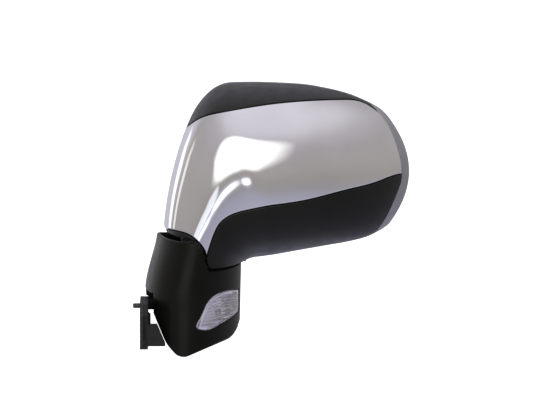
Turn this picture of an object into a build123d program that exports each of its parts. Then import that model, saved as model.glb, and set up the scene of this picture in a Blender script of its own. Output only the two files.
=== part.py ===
from build123d import *
from math import cos, hypot, pi, radians, sin, sqrt, tan
import os

# Left-hand power-folding door mirror, in millimetres.
# +X points away from the door, +Y to the rear of the car (the way the glass faces), +Z up.
# The origin is the centre of the bolt circle, on the face that meets the door.

# ---- driving dimensions -------------------------------------------------------------------
TIP = radians(8.0)              # the styling view looks down on the mirror by this angle
RIM_Y = 62.0                    # rear plane of the head
BEZEL_Y = 56.0                  # where the bezel starts above and below; it starts further forward outboard
FOOT_BACK_Y = 38.0              # rear plane of the foot
FOOT_NOSE = 1.8                 # 2 is a round leading edge, less is sharper
HEAD_MIN_VOLUME = 2.5e6         # a form that closes holds more than this
HEAD_DEPTH = 116.0              # from the rear plane of the head to its nose
HEAD_END_X = 250.7              # where the outline turns round the outboard end
HEAD_END_BOW = 20.0             # how far the outboard end swells past that

# The lines of the head and the foot are drawn in the styling view: x along +X, y up the view.
FRONT = Plane(origin=(0, 0, 0), x_dir=(1, 0, 0), z_dir=(0, -cos(TIP), sin(TIP)))


# ---- free-form shapes ---------------------------------------------------------------------
def blend(values, t):
    """A smooth curve through evenly spaced values, read at t from 0 to 1."""
    last = len(values) - 1
    i = min(int(t * last), last - 1)
    s = t * last - i
    before = values[max(i - 1, 0)] if i else 2 * values[0] - values[1]
    after = values[i + 2] if i + 2 <= last else 2 * values[last] - values[last - 1]
    a, b = values[i], values[i + 1]
    ta, tb = (b - before) / 2, (after - a) / 2
    return (a * (2 * s**3 - 3 * s**2 + 1) + ta * (s**3 - 2 * s**2 + s)
            + b * (3 * s**2 - 2 * s**3) + tb * (s**3 - s**2))


def form_grid(stations, rim_y, rows, columns):
    """Rows of points on a form: arches that stand on the chords of its rim."""
    grid = []
    for row in range(rows):
        t = row / (rows - 1)
        x0, y0, x1, y1, depth, full, bow = [blend(v, t) for v in zip(*stations)]
        line = []
        for column in range(columns):
            turn = pi * column / (columns - 1)
            across = -cos(turn)
            x = (x0 + x1) / 2 + (x1 - x0) / 2 * across + bow * (1 - across**2)
            up = (y0 + y1) / 2 + (y1 - y0) / 2 * across
            y = rim_y - depth * sin(turn) * (1 + full * across**2)
            line.append(Vector(x, y, (up - rim_y * sin(TIP)) / cos(TIP)))
        grid.append(line)
    return grid


def inset_grid(grid, distance):
    """The same form, set in along its normals by a wall thickness."""
    rows, columns = len(grid), len(grid[0])
    moved = []
    for i in range(rows):
        line = []
        for j in range(columns):
            up = grid[min(i + 1, rows - 1)][j] - grid[max(i - 1, 0)][j]
            along = grid[i][min(j + 1, columns - 1)] - grid[i][max(j - 1, 0)]
            if j in (0, columns - 1):
                along = Vector(0, -1, 0) if j == 0 else Vector(0, 1, 0)
            if i == rows - 1:
                up = Vector(0, 1, 0)
            if i == rows - 1 and j in (0, columns - 1):
                inner = grid[i][j + 1 if j == 0 else j - 1]
                along = (inner - grid[i - 1][j]) * (1 if j == 0 else -1)
            if i == 0:
                up = Vector(0, 0, 1)
            line.append(grid[i][j] + up.cross(along).normalized() * distance)
        moved.append(line)
    return moved


def skin(inset=0.0, rows=49, columns=33):
    """The closed solid under the head form, set in by a wall thickness."""
    grid = form_grid(head_stations(), RIM_Y, rows, columns)
    if inset:
        grid = inset_grid(grid, inset)
    sheet = Face.make_surface_from_array_of_points(grid, tol=0.01, min_deg=3, max_deg=5)
    floor_edge, under, end, top = sheet.edges().sort_by(Axis.Z)
    sill = Edge.make_line(floor_edge @ 0, floor_edge @ 1)
    floor = Face(Wire([floor_edge, sill]))
    for loop in ([sill, top, end, under], [top, end, under, sill], [under, end, top, sill]):
        plain = Face(Wire(loop, sequenced=True))
        for rear in (plain, plain.fix()):
            solid = Solid(Shell([sheet, rear, floor]))
            if solid.is_valid and solid.volume > HEAD_MIN_VOLUME:
                return solid
    raise ValueError("the form does not close")


# stations: rim chord ends in the styling view, depth, fullness and bow of the arch
HEAD_STATIONS = [
    (22.0, 20.0, 101.5, 20.0, 94.0, 0.12, -6.0),
    (22.0, 54.0, 101.5, 52.0, 94.0, 0.12, -6.0),
    (22.7, 88.0, 102.6, 59.5, 96.0, 0.12, -5.0),
    (25.8, 119.0, 105.3, 63.3, 99.0, 0.12, -3.0),
    (32.5, 153.0, 109.0, 65.3, 103.0, 0.12, 0.0),
    (43.0, 188.0, 113.0, 66.3, 107.0, 0.1, 0.0),
    (57.5, 218.5, 118.0, 67.0, 110.0, 0.14, 0.0),
    (79.0, 238.0, 125.0, 67.8, 112.0, 0.18, 0.0),
    (108.0, 241.3, 137.0, 69.7, 113.0, 0.2, 0.0),
]


def head_stations():
    stations = list(HEAD_STATIONS)
    top = (239.6, 235.8, 230.3, 222.8, 215.3, 207.6, 203.8)
    under = (73.3, 77.6, 81.2, 85.4, 91.4, 96.7, 99.3)
    count = len(top)
    for i in range(count):
        turn = radians(25 + 65 * i / (count - 1))
        x = 90.0 + (HEAD_END_X - 90.0) * sin(turn)
        share = i / (count - 1)
        depth = HEAD_DEPTH * cos(turn)
        stations.append((x, top[i], x, under[i], depth, 0.2, HEAD_END_BOW * share**1.5))
    return stations


# heights of the foot sections, the ends of their chords and the bow of their arches
FOOT_SECTIONS = [
    (-40.0, 6.5, 99.0, -5.5),
    (-20.0, 6.5, 99.4, -5.0),
    (0.0, 6.2, 99.9, -4.8),
    (17.0, 5.4, 100.3, -4.4),
    (31.0, 4.9, 100.6, -4.0),
    (45.0, 7.0, 101.0, -3.0),
    (62.0, 11.5, 101.3, -2.0),
    (83.0, 16.5, 101.5, -1.0),
    (105.0, 18.0, 101.5, 0.0),
]


def foot_form(inset=0.0):
    """The foot as a loft of arches, set in by a wall thickness."""
    with BuildPart() as form:
        for z, x0, x1, bow in FOOT_SECTIONS:
            with BuildSketch(Plane.XY.offset(z)):
                half = (x1 - x0) / 2 - inset
                deep = 80.0 + 0.05 * (60.0 - z) - inset
                arch = []
                for step in range(17):
                    turn = pi * step / 16
                    rise = max(0.0, 1 - abs(cos(turn))**FOOT_NOSE)**(1 / FOOT_NOSE)
                    x = (x0 + x1) / 2 - half * cos(turn) + bow * sin(turn)**2
                    arch.append((x, FOOT_BACK_Y - deep * rise))
                with BuildLine():
                    Spline(*arch)
                    Line(arch[-1], arch[0])
                make_face()
        loft()
    return form.part


HEAD_SKIN = skin()
HEAD_CHROME_INNER = skin(2.5)
HEAD_SEAT = skin(2.9)
HEAD_INNER = skin(5.0)

# ---- outlines in the styling view ---------------------------------------------------------
CHROME_TOP = [(8, 176), (30, 184), (45.4, 194.6), (57.6, 203), (83, 210.2), (130, 218), (170.4, 221.7),
              (202, 222.9), (219, 221.6), (232, 215.4), (244, 206), (275, 180)]
CHROME_UNDER = [(275, 148.5), (262, 148), (237.3, 139.7), (210.5, 132.6), (183.7, 125.6), (157, 119.6),
                (130, 115.8), (108.6, 111.6), (95.8, 108.3), (86.9, 104), (80.5, 98.6), (75.4, 90),
                (71.6, 79.8), (67, 65.0)]
CHROME_TAIL = [(67, 65.0), (63, 73.4), (57.6, 79.8), (50.3, 86.3), (35.9, 91), (24, 93), (8, 95)]
BEZEL_LINE = [(222, 232), (232, 218.5), (244.5, 205), (254, 188), (260, 171), (263.2, 154), (262.6, 142),
              (256, 123.4), (249.4, 108.7), (242, 96.5), (232, 84)]
FOOT_OUTLINE = [(-30, 30), (6.0, 27.5), (14.8, 5), (26.4, -22), (37, -33.7), (45.2, -35.4), (92, -15.5),
                (99.3, -2.5), (102, 12), (140, 20), (140, 160), (-30, 160)]
LENS_OUTLINE = [(57.7, -5.9), (61.3, 4.2), (66, 14.7), (71.8, 23.3), (82.3, 29), (92.8, 31.7), (101, 31),
                (103.6, 25.2), (101, 14.7), (95.2, 7), (80.9, -2), (68.9, -7.8), (60.3, -7.3)]
FOLD_X, FOLD_Y = 60.0, 8.0      # the vertical axis the head folds about
SEAM_Z = 88.6                   # underside of the head over the collar of the foot
STEP_LINE = [(50, 88.6), (57, 85.6), (63, 78.5), (66.4, 70), (68.4, 61), (71.5, 57)]
DECK_Z = 56.0                   # top of the foot under the head
WALL = 3.0                      # thickness of the foot cover
GLASS_C = (155.0, 152.0)        # centre of the glass, along X and Z
GLASS_OUTLINE = [(64, 190), (67, 206), (80, 218), (110, 221.5), (150, 220.5), (195, 213), (225, 203),
                 (243, 188), (252.5, 167), (256, 145), (251.5, 123), (240, 105), (222, 92.5), (184, 84.5),
                 (152, 80.5), (130, 82), (113, 88.5), (97, 97.5), (82, 107), (72.5, 121), (66, 142), (62.5, 165)]
PIVOT_Y = 32.0                  # the glass tilts about this point behind it
TILT_ARM = 30.0                 # from that point to each push rod
GEAR_TEETH, PINION_TEETH = 30, 10
COVER_SCREWS = [(38, -2, 0), (38, 18, 0)]
POSTS = [(116, 200), (176, 199.5), (110, 102), (204, 130)]


def grow(points, gap, closed=True):
    """Points of an outline that runs clockwise, moved outward by a gap."""
    count = len(points)
    moved = []
    for i, (x, y) in enumerate(points):
        ahead = points[(i + 1) % count] if closed else points[min(i + 1, count - 1)]
        behind = points[i - 1] if closed else points[max(i - 1, 0)]
        dx, dy = ahead[0] - behind[0], ahead[1] - behind[1]
        length = hypot(dx, dy)
        moved.append((x - gap * dy / length, y + gap * dx / length))
    return moved


# ---- tools that cut the skins into panels -------------------------------------------------
with BuildPart() as head_zone:
    with Locations((130, 0, SEAM_Z)):
        Box(400, 300, 300, align=(Align.CENTER, Align.CENTER, Align.MIN))
    with BuildSketch(Plane.XZ.offset(-38)):
        with BuildLine():
            Spline(*STEP_LINE)
            Line(STEP_LINE[-1], (140, 57))
            Line((140, 57), (140, SEAM_Z))
            Line((140, SEAM_Z), STEP_LINE[0])
        make_face()
    extrude(amount=120)
    with Locations((103.5, 0, 50)):
        Box(300, 300, 100, align=(Align.MIN, Align.CENTER, Align.MIN))


def chrome_prism(gap):
    """The outline of the chrome band, grown by a gap and carried through the head."""
    top = grow(CHROME_TOP, gap, closed=False)
    under = grow(CHROME_UNDER, gap, closed=False)
    tail = grow(CHROME_TAIL, gap, closed=False)
    with BuildPart() as prism:
        with BuildSketch(FRONT):
            with BuildLine():
                Spline(*top)
                Line(top[-1], under[0])
                Spline(*under)
                if gap:
                    Line(under[-1], tail[0])
                Spline(*tail)
                Line(tail[-1], top[0])
            make_face()
        extrude(amount=150, both=True)
    return prism.part


def bezel_tool(gap):
    """Everything behind the line where the housings meet the bezel, moved forward by a gap."""
    with BuildPart() as tool:
        with Locations((150, BEZEL_Y - gap, 150)):
            Box(420, 80, 420, align=(Align.CENTER, Align.MIN, Align.CENTER))
        with BuildSketch(FRONT):
            with BuildLine():
                line = Spline(*[(x - gap, y) for x, y in BEZEL_LINE])
                Polyline(line @ 1, (232, 20), (320, 20), (320, 280), (222, 280), line @ 0)
            make_face()
        extrude(amount=150, both=True)
    return tool.part


# ---- head shells --------------------------------------------------------------------------
with BuildPart() as blank:
    add(HEAD_SKIN)
    add(HEAD_INNER, mode=Mode.SUBTRACT)
    add(head_zone.part, mode=Mode.INTERSECT)
    add(bezel_tool(0.3), mode=Mode.SUBTRACT)

with BuildPart() as chrome_pocket:
    add(chrome_prism(0.4))
    add(HEAD_SEAT, mode=Mode.SUBTRACT)

# the band across the front, clipped over both housings
with BuildPart() as chrome_cover:
    add(HEAD_SKIN)
    add(HEAD_CHROME_INNER, mode=Mode.SUBTRACT)
    add(chrome_prism(0.0), mode=Mode.INTERSECT)
    add(head_zone.part, mode=Mode.INTERSECT)
    add(bezel_tool(0.3), mode=Mode.SUBTRACT)
chrome_cover.part.label = "chrome_cover"

with BuildPart() as over_split:
    with BuildSketch(FRONT):
        with BuildLine():
            Polyline((-20, 150.3), (330, 183.3), (330, 330), (-20, 330), close=True)
        make_face()
    extrude(amount=200, both=True)

with BuildPart() as under_split:
    with BuildSketch(FRONT):
        with BuildLine():
            Polyline((-20, 149.7), (330, 182.7), (330, 20), (-20, 20), close=True)
        make_face()
    extrude(amount=200, both=True)



def posts(spots):
    """Posts from the carrier forward to the inside of the housings."""
    with BuildPart() as made:
        with Locations(Plane.XZ.offset(7)):
            with Locations(*spots):
                Cylinder(4.5, 60, align=(Align.CENTER, Align.CENTER, Align.MIN))
                Cylinder(1.5, 12, align=(Align.CENTER, Align.CENTER, Align.MIN), mode=Mode.SUBTRACT)
        add(HEAD_SEAT, mode=Mode.INTERSECT)
    return made.part


# the top housing; its lower edge lies under the chrome band
with BuildPart() as upper_housing:
    add(blank.part)
    add(chrome_pocket.part, mode=Mode.SUBTRACT)
    add(over_split.part, mode=Mode.INTERSECT)
    add(posts(POSTS[:2]))
upper_housing.part.label = "upper_housing"

with BuildPart() as neck_wall:
    with BuildSketch(Plane.XZ.offset(-38)):
        with BuildLine():
            Spline(*STEP_LINE)
            Line(STEP_LINE[-1], (105.9, 57))
            Line((105.9, 57), (105.9, SEAM_Z + 2))
            Line((105.9, SEAM_Z + 2), STEP_LINE[0])
        make_face()
    extrude(amount=2.5)
    with Locations((62, 33, SEAM_Z)):
        Box(72, 8.4, 2.4, align=(Align.CENTER, Align.MIN, Align.MIN))
    with Locations((103.5, 35.5, 52)):
        Box(2.4, 19.9, 39, align=(Align.MIN, Align.MIN, Align.MIN))
    add(HEAD_SEAT, mode=Mode.INTERSECT)

# the lower housing, with the wall that closes the neck at the back
with BuildPart() as lower_housing:
    add(blank.part)
    add(chrome_pocket.part, mode=Mode.SUBTRACT)
    add(under_split.part, mode=Mode.INTERSECT)
    add(neck_wall.part)
    add(posts(POSTS[2:]))
lower_housing.part.label = "lower_housing"


# ---- bezel --------------------------------------------------------------------------------
def glass_opening(gap, y0, y1, taper=0.0):
    with BuildPart() as opening:
        with BuildSketch(Plane.XZ.offset(-y1)):
            with BuildLine():
                Spline(*grow(GLASS_OUTLINE, gap), periodic=True)
            make_face()
        extrude(amount=y1 - y0, taper=taper)
    return opening.part


with BuildPart() as bezel_core:
    add(HEAD_INNER)
    with Locations((150, 57.5, 150)):
        Box(420, 60, 420, align=(Align.CENTER, Align.MIN, Align.CENTER), mode=Mode.SUBTRACT)

with BuildPart() as bezel:
    add(HEAD_SKIN)
    add(bezel_core.part, mode=Mode.SUBTRACT)
    add(bezel_tool(0.0), mode=Mode.INTERSECT)
    with Locations((103.5, 0, SEAM_Z)):
        Box(200, 300, 100, align=(Align.MAX, Align.CENTER, Align.MAX), mode=Mode.SUBTRACT)
    with Locations((64, 42, SEAM_Z)):
        Box(70, 18, 2.5, align=(Align.CENTER, Align.MIN, Align.MIN))
    add(glass_opening(5.0, 0, 80), mode=Mode.SUBTRACT)
bezel.part.label = "bezel"


# ---- foot ---------------------------------------------------------------------------------
with BuildPart() as foot_zone:
    with BuildSketch(Plane.XZ.offset(-60)):
        with BuildLine():
            step = Spline(*[(x - 1.2, z - 1.2) for x, z in STEP_LINE[1:]])
            Polyline(step @ 1, (140, DECK_Z), (140, -60), (-30, -60), (-30, 85.4), (46, 85.4), step @ 0)
        make_face()
    extrude(amount=140)
    with BuildSketch(FRONT):
        with BuildLine():
            Polyline(*FOOT_OUTLINE, close=True)
        make_face()
    extrude(amount=150, both=True, mode=Mode.INTERSECT)


def lens_shape(size):
    """The outline of the lens, scaled about its middle and carried through the foot."""
    with BuildPart() as prism:
        with BuildSketch(FRONT):
            with BuildLine():
                Spline(*[(81 + (x - 81) * size, 12 + (y - 12) * size) for x, y in LENS_OUTLINE], periodic=True)
            make_face()
        extrude(amount=150)
    return prism.part


# the hollow of the foot: a chamber under the deck and the open collar over it
with BuildPart() as foot_hollow:
    add(foot_form(WALL))
    with Locations((50, 35, 0)):
        Box(300, 60, 300, align=(Align.CENTER, Align.MIN, Align.CENTER), mode=Mode.SUBTRACT)
    with Locations((50, 0, DECK_Z - 3)):
        Box(300, 300, 3, align=(Align.CENTER, Align.CENTER, Align.MIN), mode=Mode.SUBTRACT)
    with BuildSketch(FRONT):
        with BuildLine():
            Polyline(*FOOT_OUTLINE, close=True)
        make_face()
        offset(amount=-WALL)
    extrude(amount=150, both=True, mode=Mode.INTERSECT)

with BuildPart() as foot_cover:
    add(foot_form())
    add(foot_zone.part, mode=Mode.INTERSECT)
    add(foot_hollow.part, mode=Mode.SUBTRACT)
    with Locations((40, 20, DECK_Z)):
        Box(120, 40, 60, align=(Align.MIN, Align.MIN, Align.MIN), mode=Mode.SUBTRACT)
    with Locations((FOLD_X, FOLD_Y, 45)):
        Cylinder(17.5, 20, align=(Align.CENTER, Align.CENTER, Align.MIN), mode=Mode.SUBTRACT)
    with Locations((-10, 0, 3)):
        Box(23, 73, 52, align=(Align.MIN, Align.CENTER, Align.CENTER), mode=Mode.SUBTRACT)
    with Locations((10, 20, 19)):
        Box(6.5, 26, 20, align=(Align.MIN, Align.CENTER, Align.CENTER), mode=Mode.SUBTRACT)
    add(lens_shape(1.02), mode=Mode.SUBTRACT)
    with Locations(*COVER_SCREWS):
        with Locations((0, 0, 52)):
            Cylinder(2.1, 5, align=(Align.CENTER, Align.CENTER, Align.MIN), mode=Mode.SUBTRACT)
        with Locations((0, 0, DECK_Z - 2)):
            Cylinder(3.8, 5, align=(Align.CENTER, Align.CENTER, Align.MIN), mode=Mode.SUBTRACT)
foot_cover.part.label = "foot_cover"

with BuildPart() as indicator_lens:
    add(foot_form())
    add(foot_form(2.5), mode=Mode.SUBTRACT)
    add(lens_shape(1.0), mode=Mode.INTERSECT)
indicator_lens.part.label = "indicator_lens"


# ---- base on the door ---------------------------------------------------------------------
BOLT_R = 17.0                   # three M6 screws from inside the door, on a 34 mm circle
PEG_Y, PEG_Z = -14.0, 18.5      # centre of the locating peg
ARM_Y = 16.0                    # middle of the rib under the arm

with BuildPart() as base_bracket:
    with BuildSketch(Plane.YZ.offset(3)):
        with Locations((0, -1)):
            Rectangle(70, 47)
        fillet(vertices(), radius=12)
    extrude(amount=5)
    with Locations(Plane.YZ):
        with PolarLocations(BOLT_R, 3, start_angle=90):
            Cylinder(5.5, 8, align=(Align.CENTER, Align.CENTER, Align.MIN))
    # the arm, a deep rib under a flat web, up to the seat of the pivot
    with BuildSketch(Plane.XZ.offset(-ARM_Y)):
        with BuildLine():
            Polyline((7, 10.8), (7, 21), (17, 21), (34, 50), (66, 50), (66, 40), (56, 34), (30, 10.8), close=True)
        make_face()
    extrude(amount=5, both=True)
    with BuildSketch(Plane.XZ.offset(-20)):
        with BuildLine():
            Polyline((7, 13), (7, 21), (17, 21), (34, 50), (60, 50), (60, 43), (40, 43), (20, 13), close=True)
        make_face()
    extrude(amount=12, both=True)
    with Locations((34, FOLD_Y, 43)):
        Box(28, 32, 7, align=(Align.MIN, Align.CENTER, Align.MIN))
    with Locations((FOLD_X, FOLD_Y, 38)):
        Cylinder(16, 12, align=(Align.CENTER, Align.CENTER, Align.MIN))
    with Locations(*COVER_SCREWS):
        with Locations((0, 0, 49)):
            Cylinder(4.5, 4, align=(Align.CENTER, Align.CENTER, Align.MIN))
            Cylinder(1.7, 4, align=(Align.CENTER, Align.CENTER, Align.MIN), mode=Mode.SUBTRACT)
    with Locations((FOLD_X, FOLD_Y, 38)):
        Cylinder(8.5, 12, align=(Align.CENTER, Align.CENTER, Align.MIN), mode=Mode.SUBTRACT)
    with Locations((FOLD_X, FOLD_Y, 40)):
        with PolarLocations(11.8, 3):
            Cylinder(1.65, 10, align=(Align.CENTER, Align.CENTER, Align.MIN), mode=Mode.SUBTRACT)
    with Locations(Plane.YZ):
        with PolarLocations(BOLT_R, 3, start_angle=90):
            Cylinder(2.5, 16, align=(Align.CENTER, Align.CENTER, Align.MIN), mode=Mode.SUBTRACT)
        Cylinder(9, 60, align=(Align.CENTER, Align.CENTER, Align.MIN), mode=Mode.SUBTRACT)
        with Locations((PEG_Y, PEG_Z)):
            Cylinder(2.0, 9, align=(Align.CENTER, Align.CENTER, Align.MIN), mode=Mode.SUBTRACT)
base_bracket.part.label = "base_bracket"

with BuildPart() as cover_screws:
    with Locations(*COVER_SCREWS):
        with Locations((0, 0, 49.5)):
            Cylinder(1.6, 5, align=(Align.CENTER, Align.CENTER, Align.MIN))
        with Locations((0, 0, DECK_Z - 1.9)):
            Cylinder(3.4, 1.6, align=(Align.CENTER, Align.CENTER, Align.MIN))
cover_screws.part.label = "cover_screws"

# foam gasket between the flange and the door
with BuildPart() as door_gasket:
    with BuildSketch(Plane.YZ):
        with Locations((0, -1)):
            Rectangle(70, 47)
        fillet(vertices(), radius=12)
        with PolarLocations(BOLT_R, 3, start_angle=90):
            Circle(5.8, mode=Mode.SUBTRACT)
        Circle(12.3, mode=Mode.SUBTRACT)
        with Locations((PEG_Y, PEG_Z)):
            Circle(3.55, mode=Mode.SUBTRACT)
    extrude(amount=3)
door_gasket.part.label = "door_gasket"

# rubber grommet in the cable outlet
with BuildPart() as cable_grommet:
    with BuildSketch(Plane.XZ):
        with BuildLine():
            Polyline((0.4, 5), (0.4, 10), (2.9, 11), (2.9, 8.9), (8.1, 8.9), (8.1, 10.2), (10.5, 8.5), (10.5, 5), close=True)
        make_face()
    revolve(axis=Axis.X)
cable_grommet.part.label = "cable_grommet"

# peg that sets the mirror square on the door
with BuildPart() as locating_peg:
    with Locations(Plane.YZ.offset(-7)):
        with Locations((PEG_Y, PEG_Z)):
            Cylinder(2.5, 9.5, align=(Align.CENTER, Align.CENTER, Align.MIN))
    with Locations(Plane.YZ.offset(2.5)):
        with Locations((PEG_Y, PEG_Z)):
            Cylinder(2.0, 5.5, align=(Align.CENTER, Align.CENTER, Align.MIN))
    with Locations(Plane.YZ.offset(2.2)):
        with Locations((PEG_Y, PEG_Z)):
            Cylinder(3.0, 0.8, align=(Align.CENTER, Align.CENTER, Align.MIN))
    chamfer(faces().sort_by(Axis.X)[0].edges(), 0.8)
locating_peg.part.label = "locating_peg"

# plastic tray under the flange that closes the gap between the door and the cover
with BuildPart() as base_tray:
    with BuildSketch(FRONT):
        with BuildLine():
            Polyline((8, -24.2), (8, -2), (16.6, -2), (25, -21.6), (25, -24.2), close=True)
        make_face()
    extrude(amount=34, both=True)
    with BuildSketch(FRONT):
        with BuildLine():
            Polyline((7, -21.8), (7, -4.4), (15, -4.4), (22.4, -21.8), close=True)
        make_face()
    extrude(amount=31.6, both=True, mode=Mode.SUBTRACT)
    with Locations(Plane.YZ.offset(7)):
        Cylinder(11.5, 5, align=(Align.CENTER, Align.CENTER, Align.MIN), mode=Mode.SUBTRACT)
base_tray.part.label = "base_tray"


# ---- pivot --------------------------------------------------------------------------------
with BuildPart() as pivot_shaft:
    with Locations((FOLD_X, FOLD_Y, 50)):
        Cylinder(16, 3, align=(Align.CENTER, Align.CENTER, Align.MIN))
        Cylinder(7, 68, align=(Align.CENTER, Align.CENTER, Align.MIN))
    with Locations((FOLD_X, FOLD_Y, 42)):
        Cylinder(8.4, 8, align=(Align.CENTER, Align.CENTER, Align.MIN))
        Cylinder(5, 80, align=(Align.CENTER, Align.CENTER, Align.MIN), mode=Mode.SUBTRACT)
    with Locations((FOLD_X, FOLD_Y, 50)):
        with PolarLocations(11.8, 3):
            Cylinder(2.1, 3, align=(Align.CENTER, Align.CENTER, Align.MIN), mode=Mode.SUBTRACT)
    chamfer(edges().filter_by(GeomType.CIRCLE).group_by(Axis.Z)[-1], 0.6)
pivot_shaft.part.label = "pivot_shaft"

with BuildPart() as shaft_screws:
    with Locations((FOLD_X, FOLD_Y, 41)):
        with PolarLocations(11.8, 3):
            Cylinder(1.6, 12, align=(Align.CENTER, Align.CENTER, Align.MIN))
    with Locations((FOLD_X, FOLD_Y, 53)):
        with PolarLocations(11.8, 3):
            Cylinder(3.4, 2.2, align=(Align.CENTER, Align.CENTER, Align.MIN))
            Cylinder(1.4, 2.2, align=(Align.CENTER, Align.CENTER, Align.MIN), mode=Mode.SUBTRACT)
shaft_screws.part.label = "shaft_screws"

# ring with three rounded notches that the head drops into when it is folded out
with BuildPart() as detent_ring:
    with Locations((FOLD_X, FOLD_Y, 55.4)):
        Cylinder(16, 1.4, align=(Align.CENTER, Align.CENTER, Align.MIN))
        Cylinder(7.15, 1.4, align=(Align.CENTER, Align.CENTER, Align.MIN), mode=Mode.SUBTRACT)
    for turn in (60, 180, 300):
        with Locations(Location((FOLD_X, FOLD_Y, 57.2), (0, 0, turn))):
            Cylinder(1.8, 30, rotation=(0, 90, 0), mode=Mode.SUBTRACT)
detent_ring.part.label = "detent_ring"


def gear(x, y, z0, z1, teeth, bore, first=0.0, addendum=0.8, dedendum=1.25):
    """A spur gear of module 1 with slightly thinned, flat-flanked teeth."""
    pitch_r = teeth / 2
    with BuildPart() as wheel:
        with BuildSketch(Plane.XY.offset(z0)):
            with Locations((x, y)):
                Circle(pitch_r - dedendum)
                with PolarLocations(pitch_r - 0.3, teeth, start_angle=first):
                    Trapezoid(1.9, addendum + dedendum + 0.6, 76, rotation=-90)
                Circle(bore, mode=Mode.SUBTRACT)
        extrude(amount=z1 - z0)
    return wheel.part


PINION_X = FOLD_X - 10.0
PINION_Y = FOLD_Y + 17.3205
with BuildPart() as fold_gear:
    add(gear(FOLD_X, FOLD_Y, 64, 71, GEAR_TEETH, 7.0))
    with Locations((FOLD_X, FOLD_Y, 71)):
        Cylinder(10, 4, align=(Align.CENTER, Align.CENTER, Align.MIN))
        Cylinder(7, 4, align=(Align.CENTER, Align.CENTER, Align.MIN), mode=Mode.SUBTRACT)
fold_gear.part.label = "fold_gear"

with BuildPart() as thrust_washer:
    with Locations((FOLD_X, FOLD_Y, 83.3)):
        Cylinder(12.8, 1, align=(Align.CENTER, Align.CENTER, Align.MIN))
        Cylinder(7.2, 1, align=(Align.CENTER, Align.CENTER, Align.MIN), mode=Mode.SUBTRACT)
thrust_washer.part.label = "thrust_washer"

with BuildPart() as fold_spring:
    with BuildLine() as coil:
        Helix(pitch=5.0, height=22.5, radius=10.6, center=(FOLD_X, FOLD_Y, 86.2))
    with BuildSketch(Plane(origin=coil.line @ 0, z_dir=coil.line % 0)):
        Circle(1.6)
    sweep()
    for z in (86.0, 108.9):
        with Locations((FOLD_X, FOLD_Y, z)):
            Torus(10.6, 1.6)
fold_spring.part.label = "fold_spring"

with BuildPart() as spring_retainer:
    with Locations((FOLD_X, FOLD_Y, 110.6)):
        Cylinder(12.8, 2.6, align=(Align.CENTER, Align.CENTER, Align.MIN))
        Cylinder(7.0, 2.6, align=(Align.CENTER, Align.CENTER, Align.MIN), mode=Mode.SUBTRACT)
    with Locations((FOLD_X, FOLD_Y, 113.2)):
        Cylinder(9.5, 2.0, align=(Align.CENTER, Align.CENTER, Align.MIN))
        Cylinder(7.0, 2.0, align=(Align.CENTER, Align.CENTER, Align.MIN), mode=Mode.SUBTRACT)
spring_retainer.part.label = "spring_retainer"


# ---- folding drive in the head ------------------------------------------------------------
def case_outline(inset=0.0):
    with BuildSketch() as outline:
        with Locations((FOLD_X, FOLD_Y)):
            Circle(19.5 - inset)
        with Locations((PINION_X, PINION_Y)):
            Circle(9.0 - inset)
        with BuildLine():
            Polyline((PINION_X - 9 + inset, PINION_Y), (FOLD_X - 19 + inset, FOLD_Y),
                     (FOLD_X, FOLD_Y), (PINION_X + 9 - inset, PINION_Y), close=True)
        make_face()
    return outline.sketch


CASE_SCREWS = [(FOLD_X + 16.6, FOLD_Y + 7.5), (FOLD_X + 3, FOLD_Y - 18), (FOLD_X - 17.5, FOLD_Y + 5)]
with BuildPart() as fold_case:
    with BuildSketch(Plane.XY.offset(57.2)):
        add(case_outline())
    extrude(amount=22.8)
    with BuildSketch(Plane.XY.offset(60.2)):
        add(case_outline(2.2))
    extrude(amount=20, mode=Mode.SUBTRACT)
    with Locations((FOLD_X, FOLD_Y, 57)):
        Cylinder(7.05, 5, align=(Align.CENTER, Align.CENTER, Align.MIN), mode=Mode.SUBTRACT)
    with Locations((PINION_X, PINION_Y, 60.2)):
        Cylinder(3.4, 2, align=(Align.CENTER, Align.CENTER, Align.MIN))
        Cylinder(1.55, 2, align=(Align.CENTER, Align.CENTER, Align.MIN), mode=Mode.SUBTRACT)
    with Locations((0, 0, 74)):
        with Locations(*CASE_SCREWS):
            Cylinder(1.35, 8, align=(Align.CENTER, Align.CENTER, Align.MIN), mode=Mode.SUBTRACT)
fold_case.part.label = "fold_case"

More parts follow.
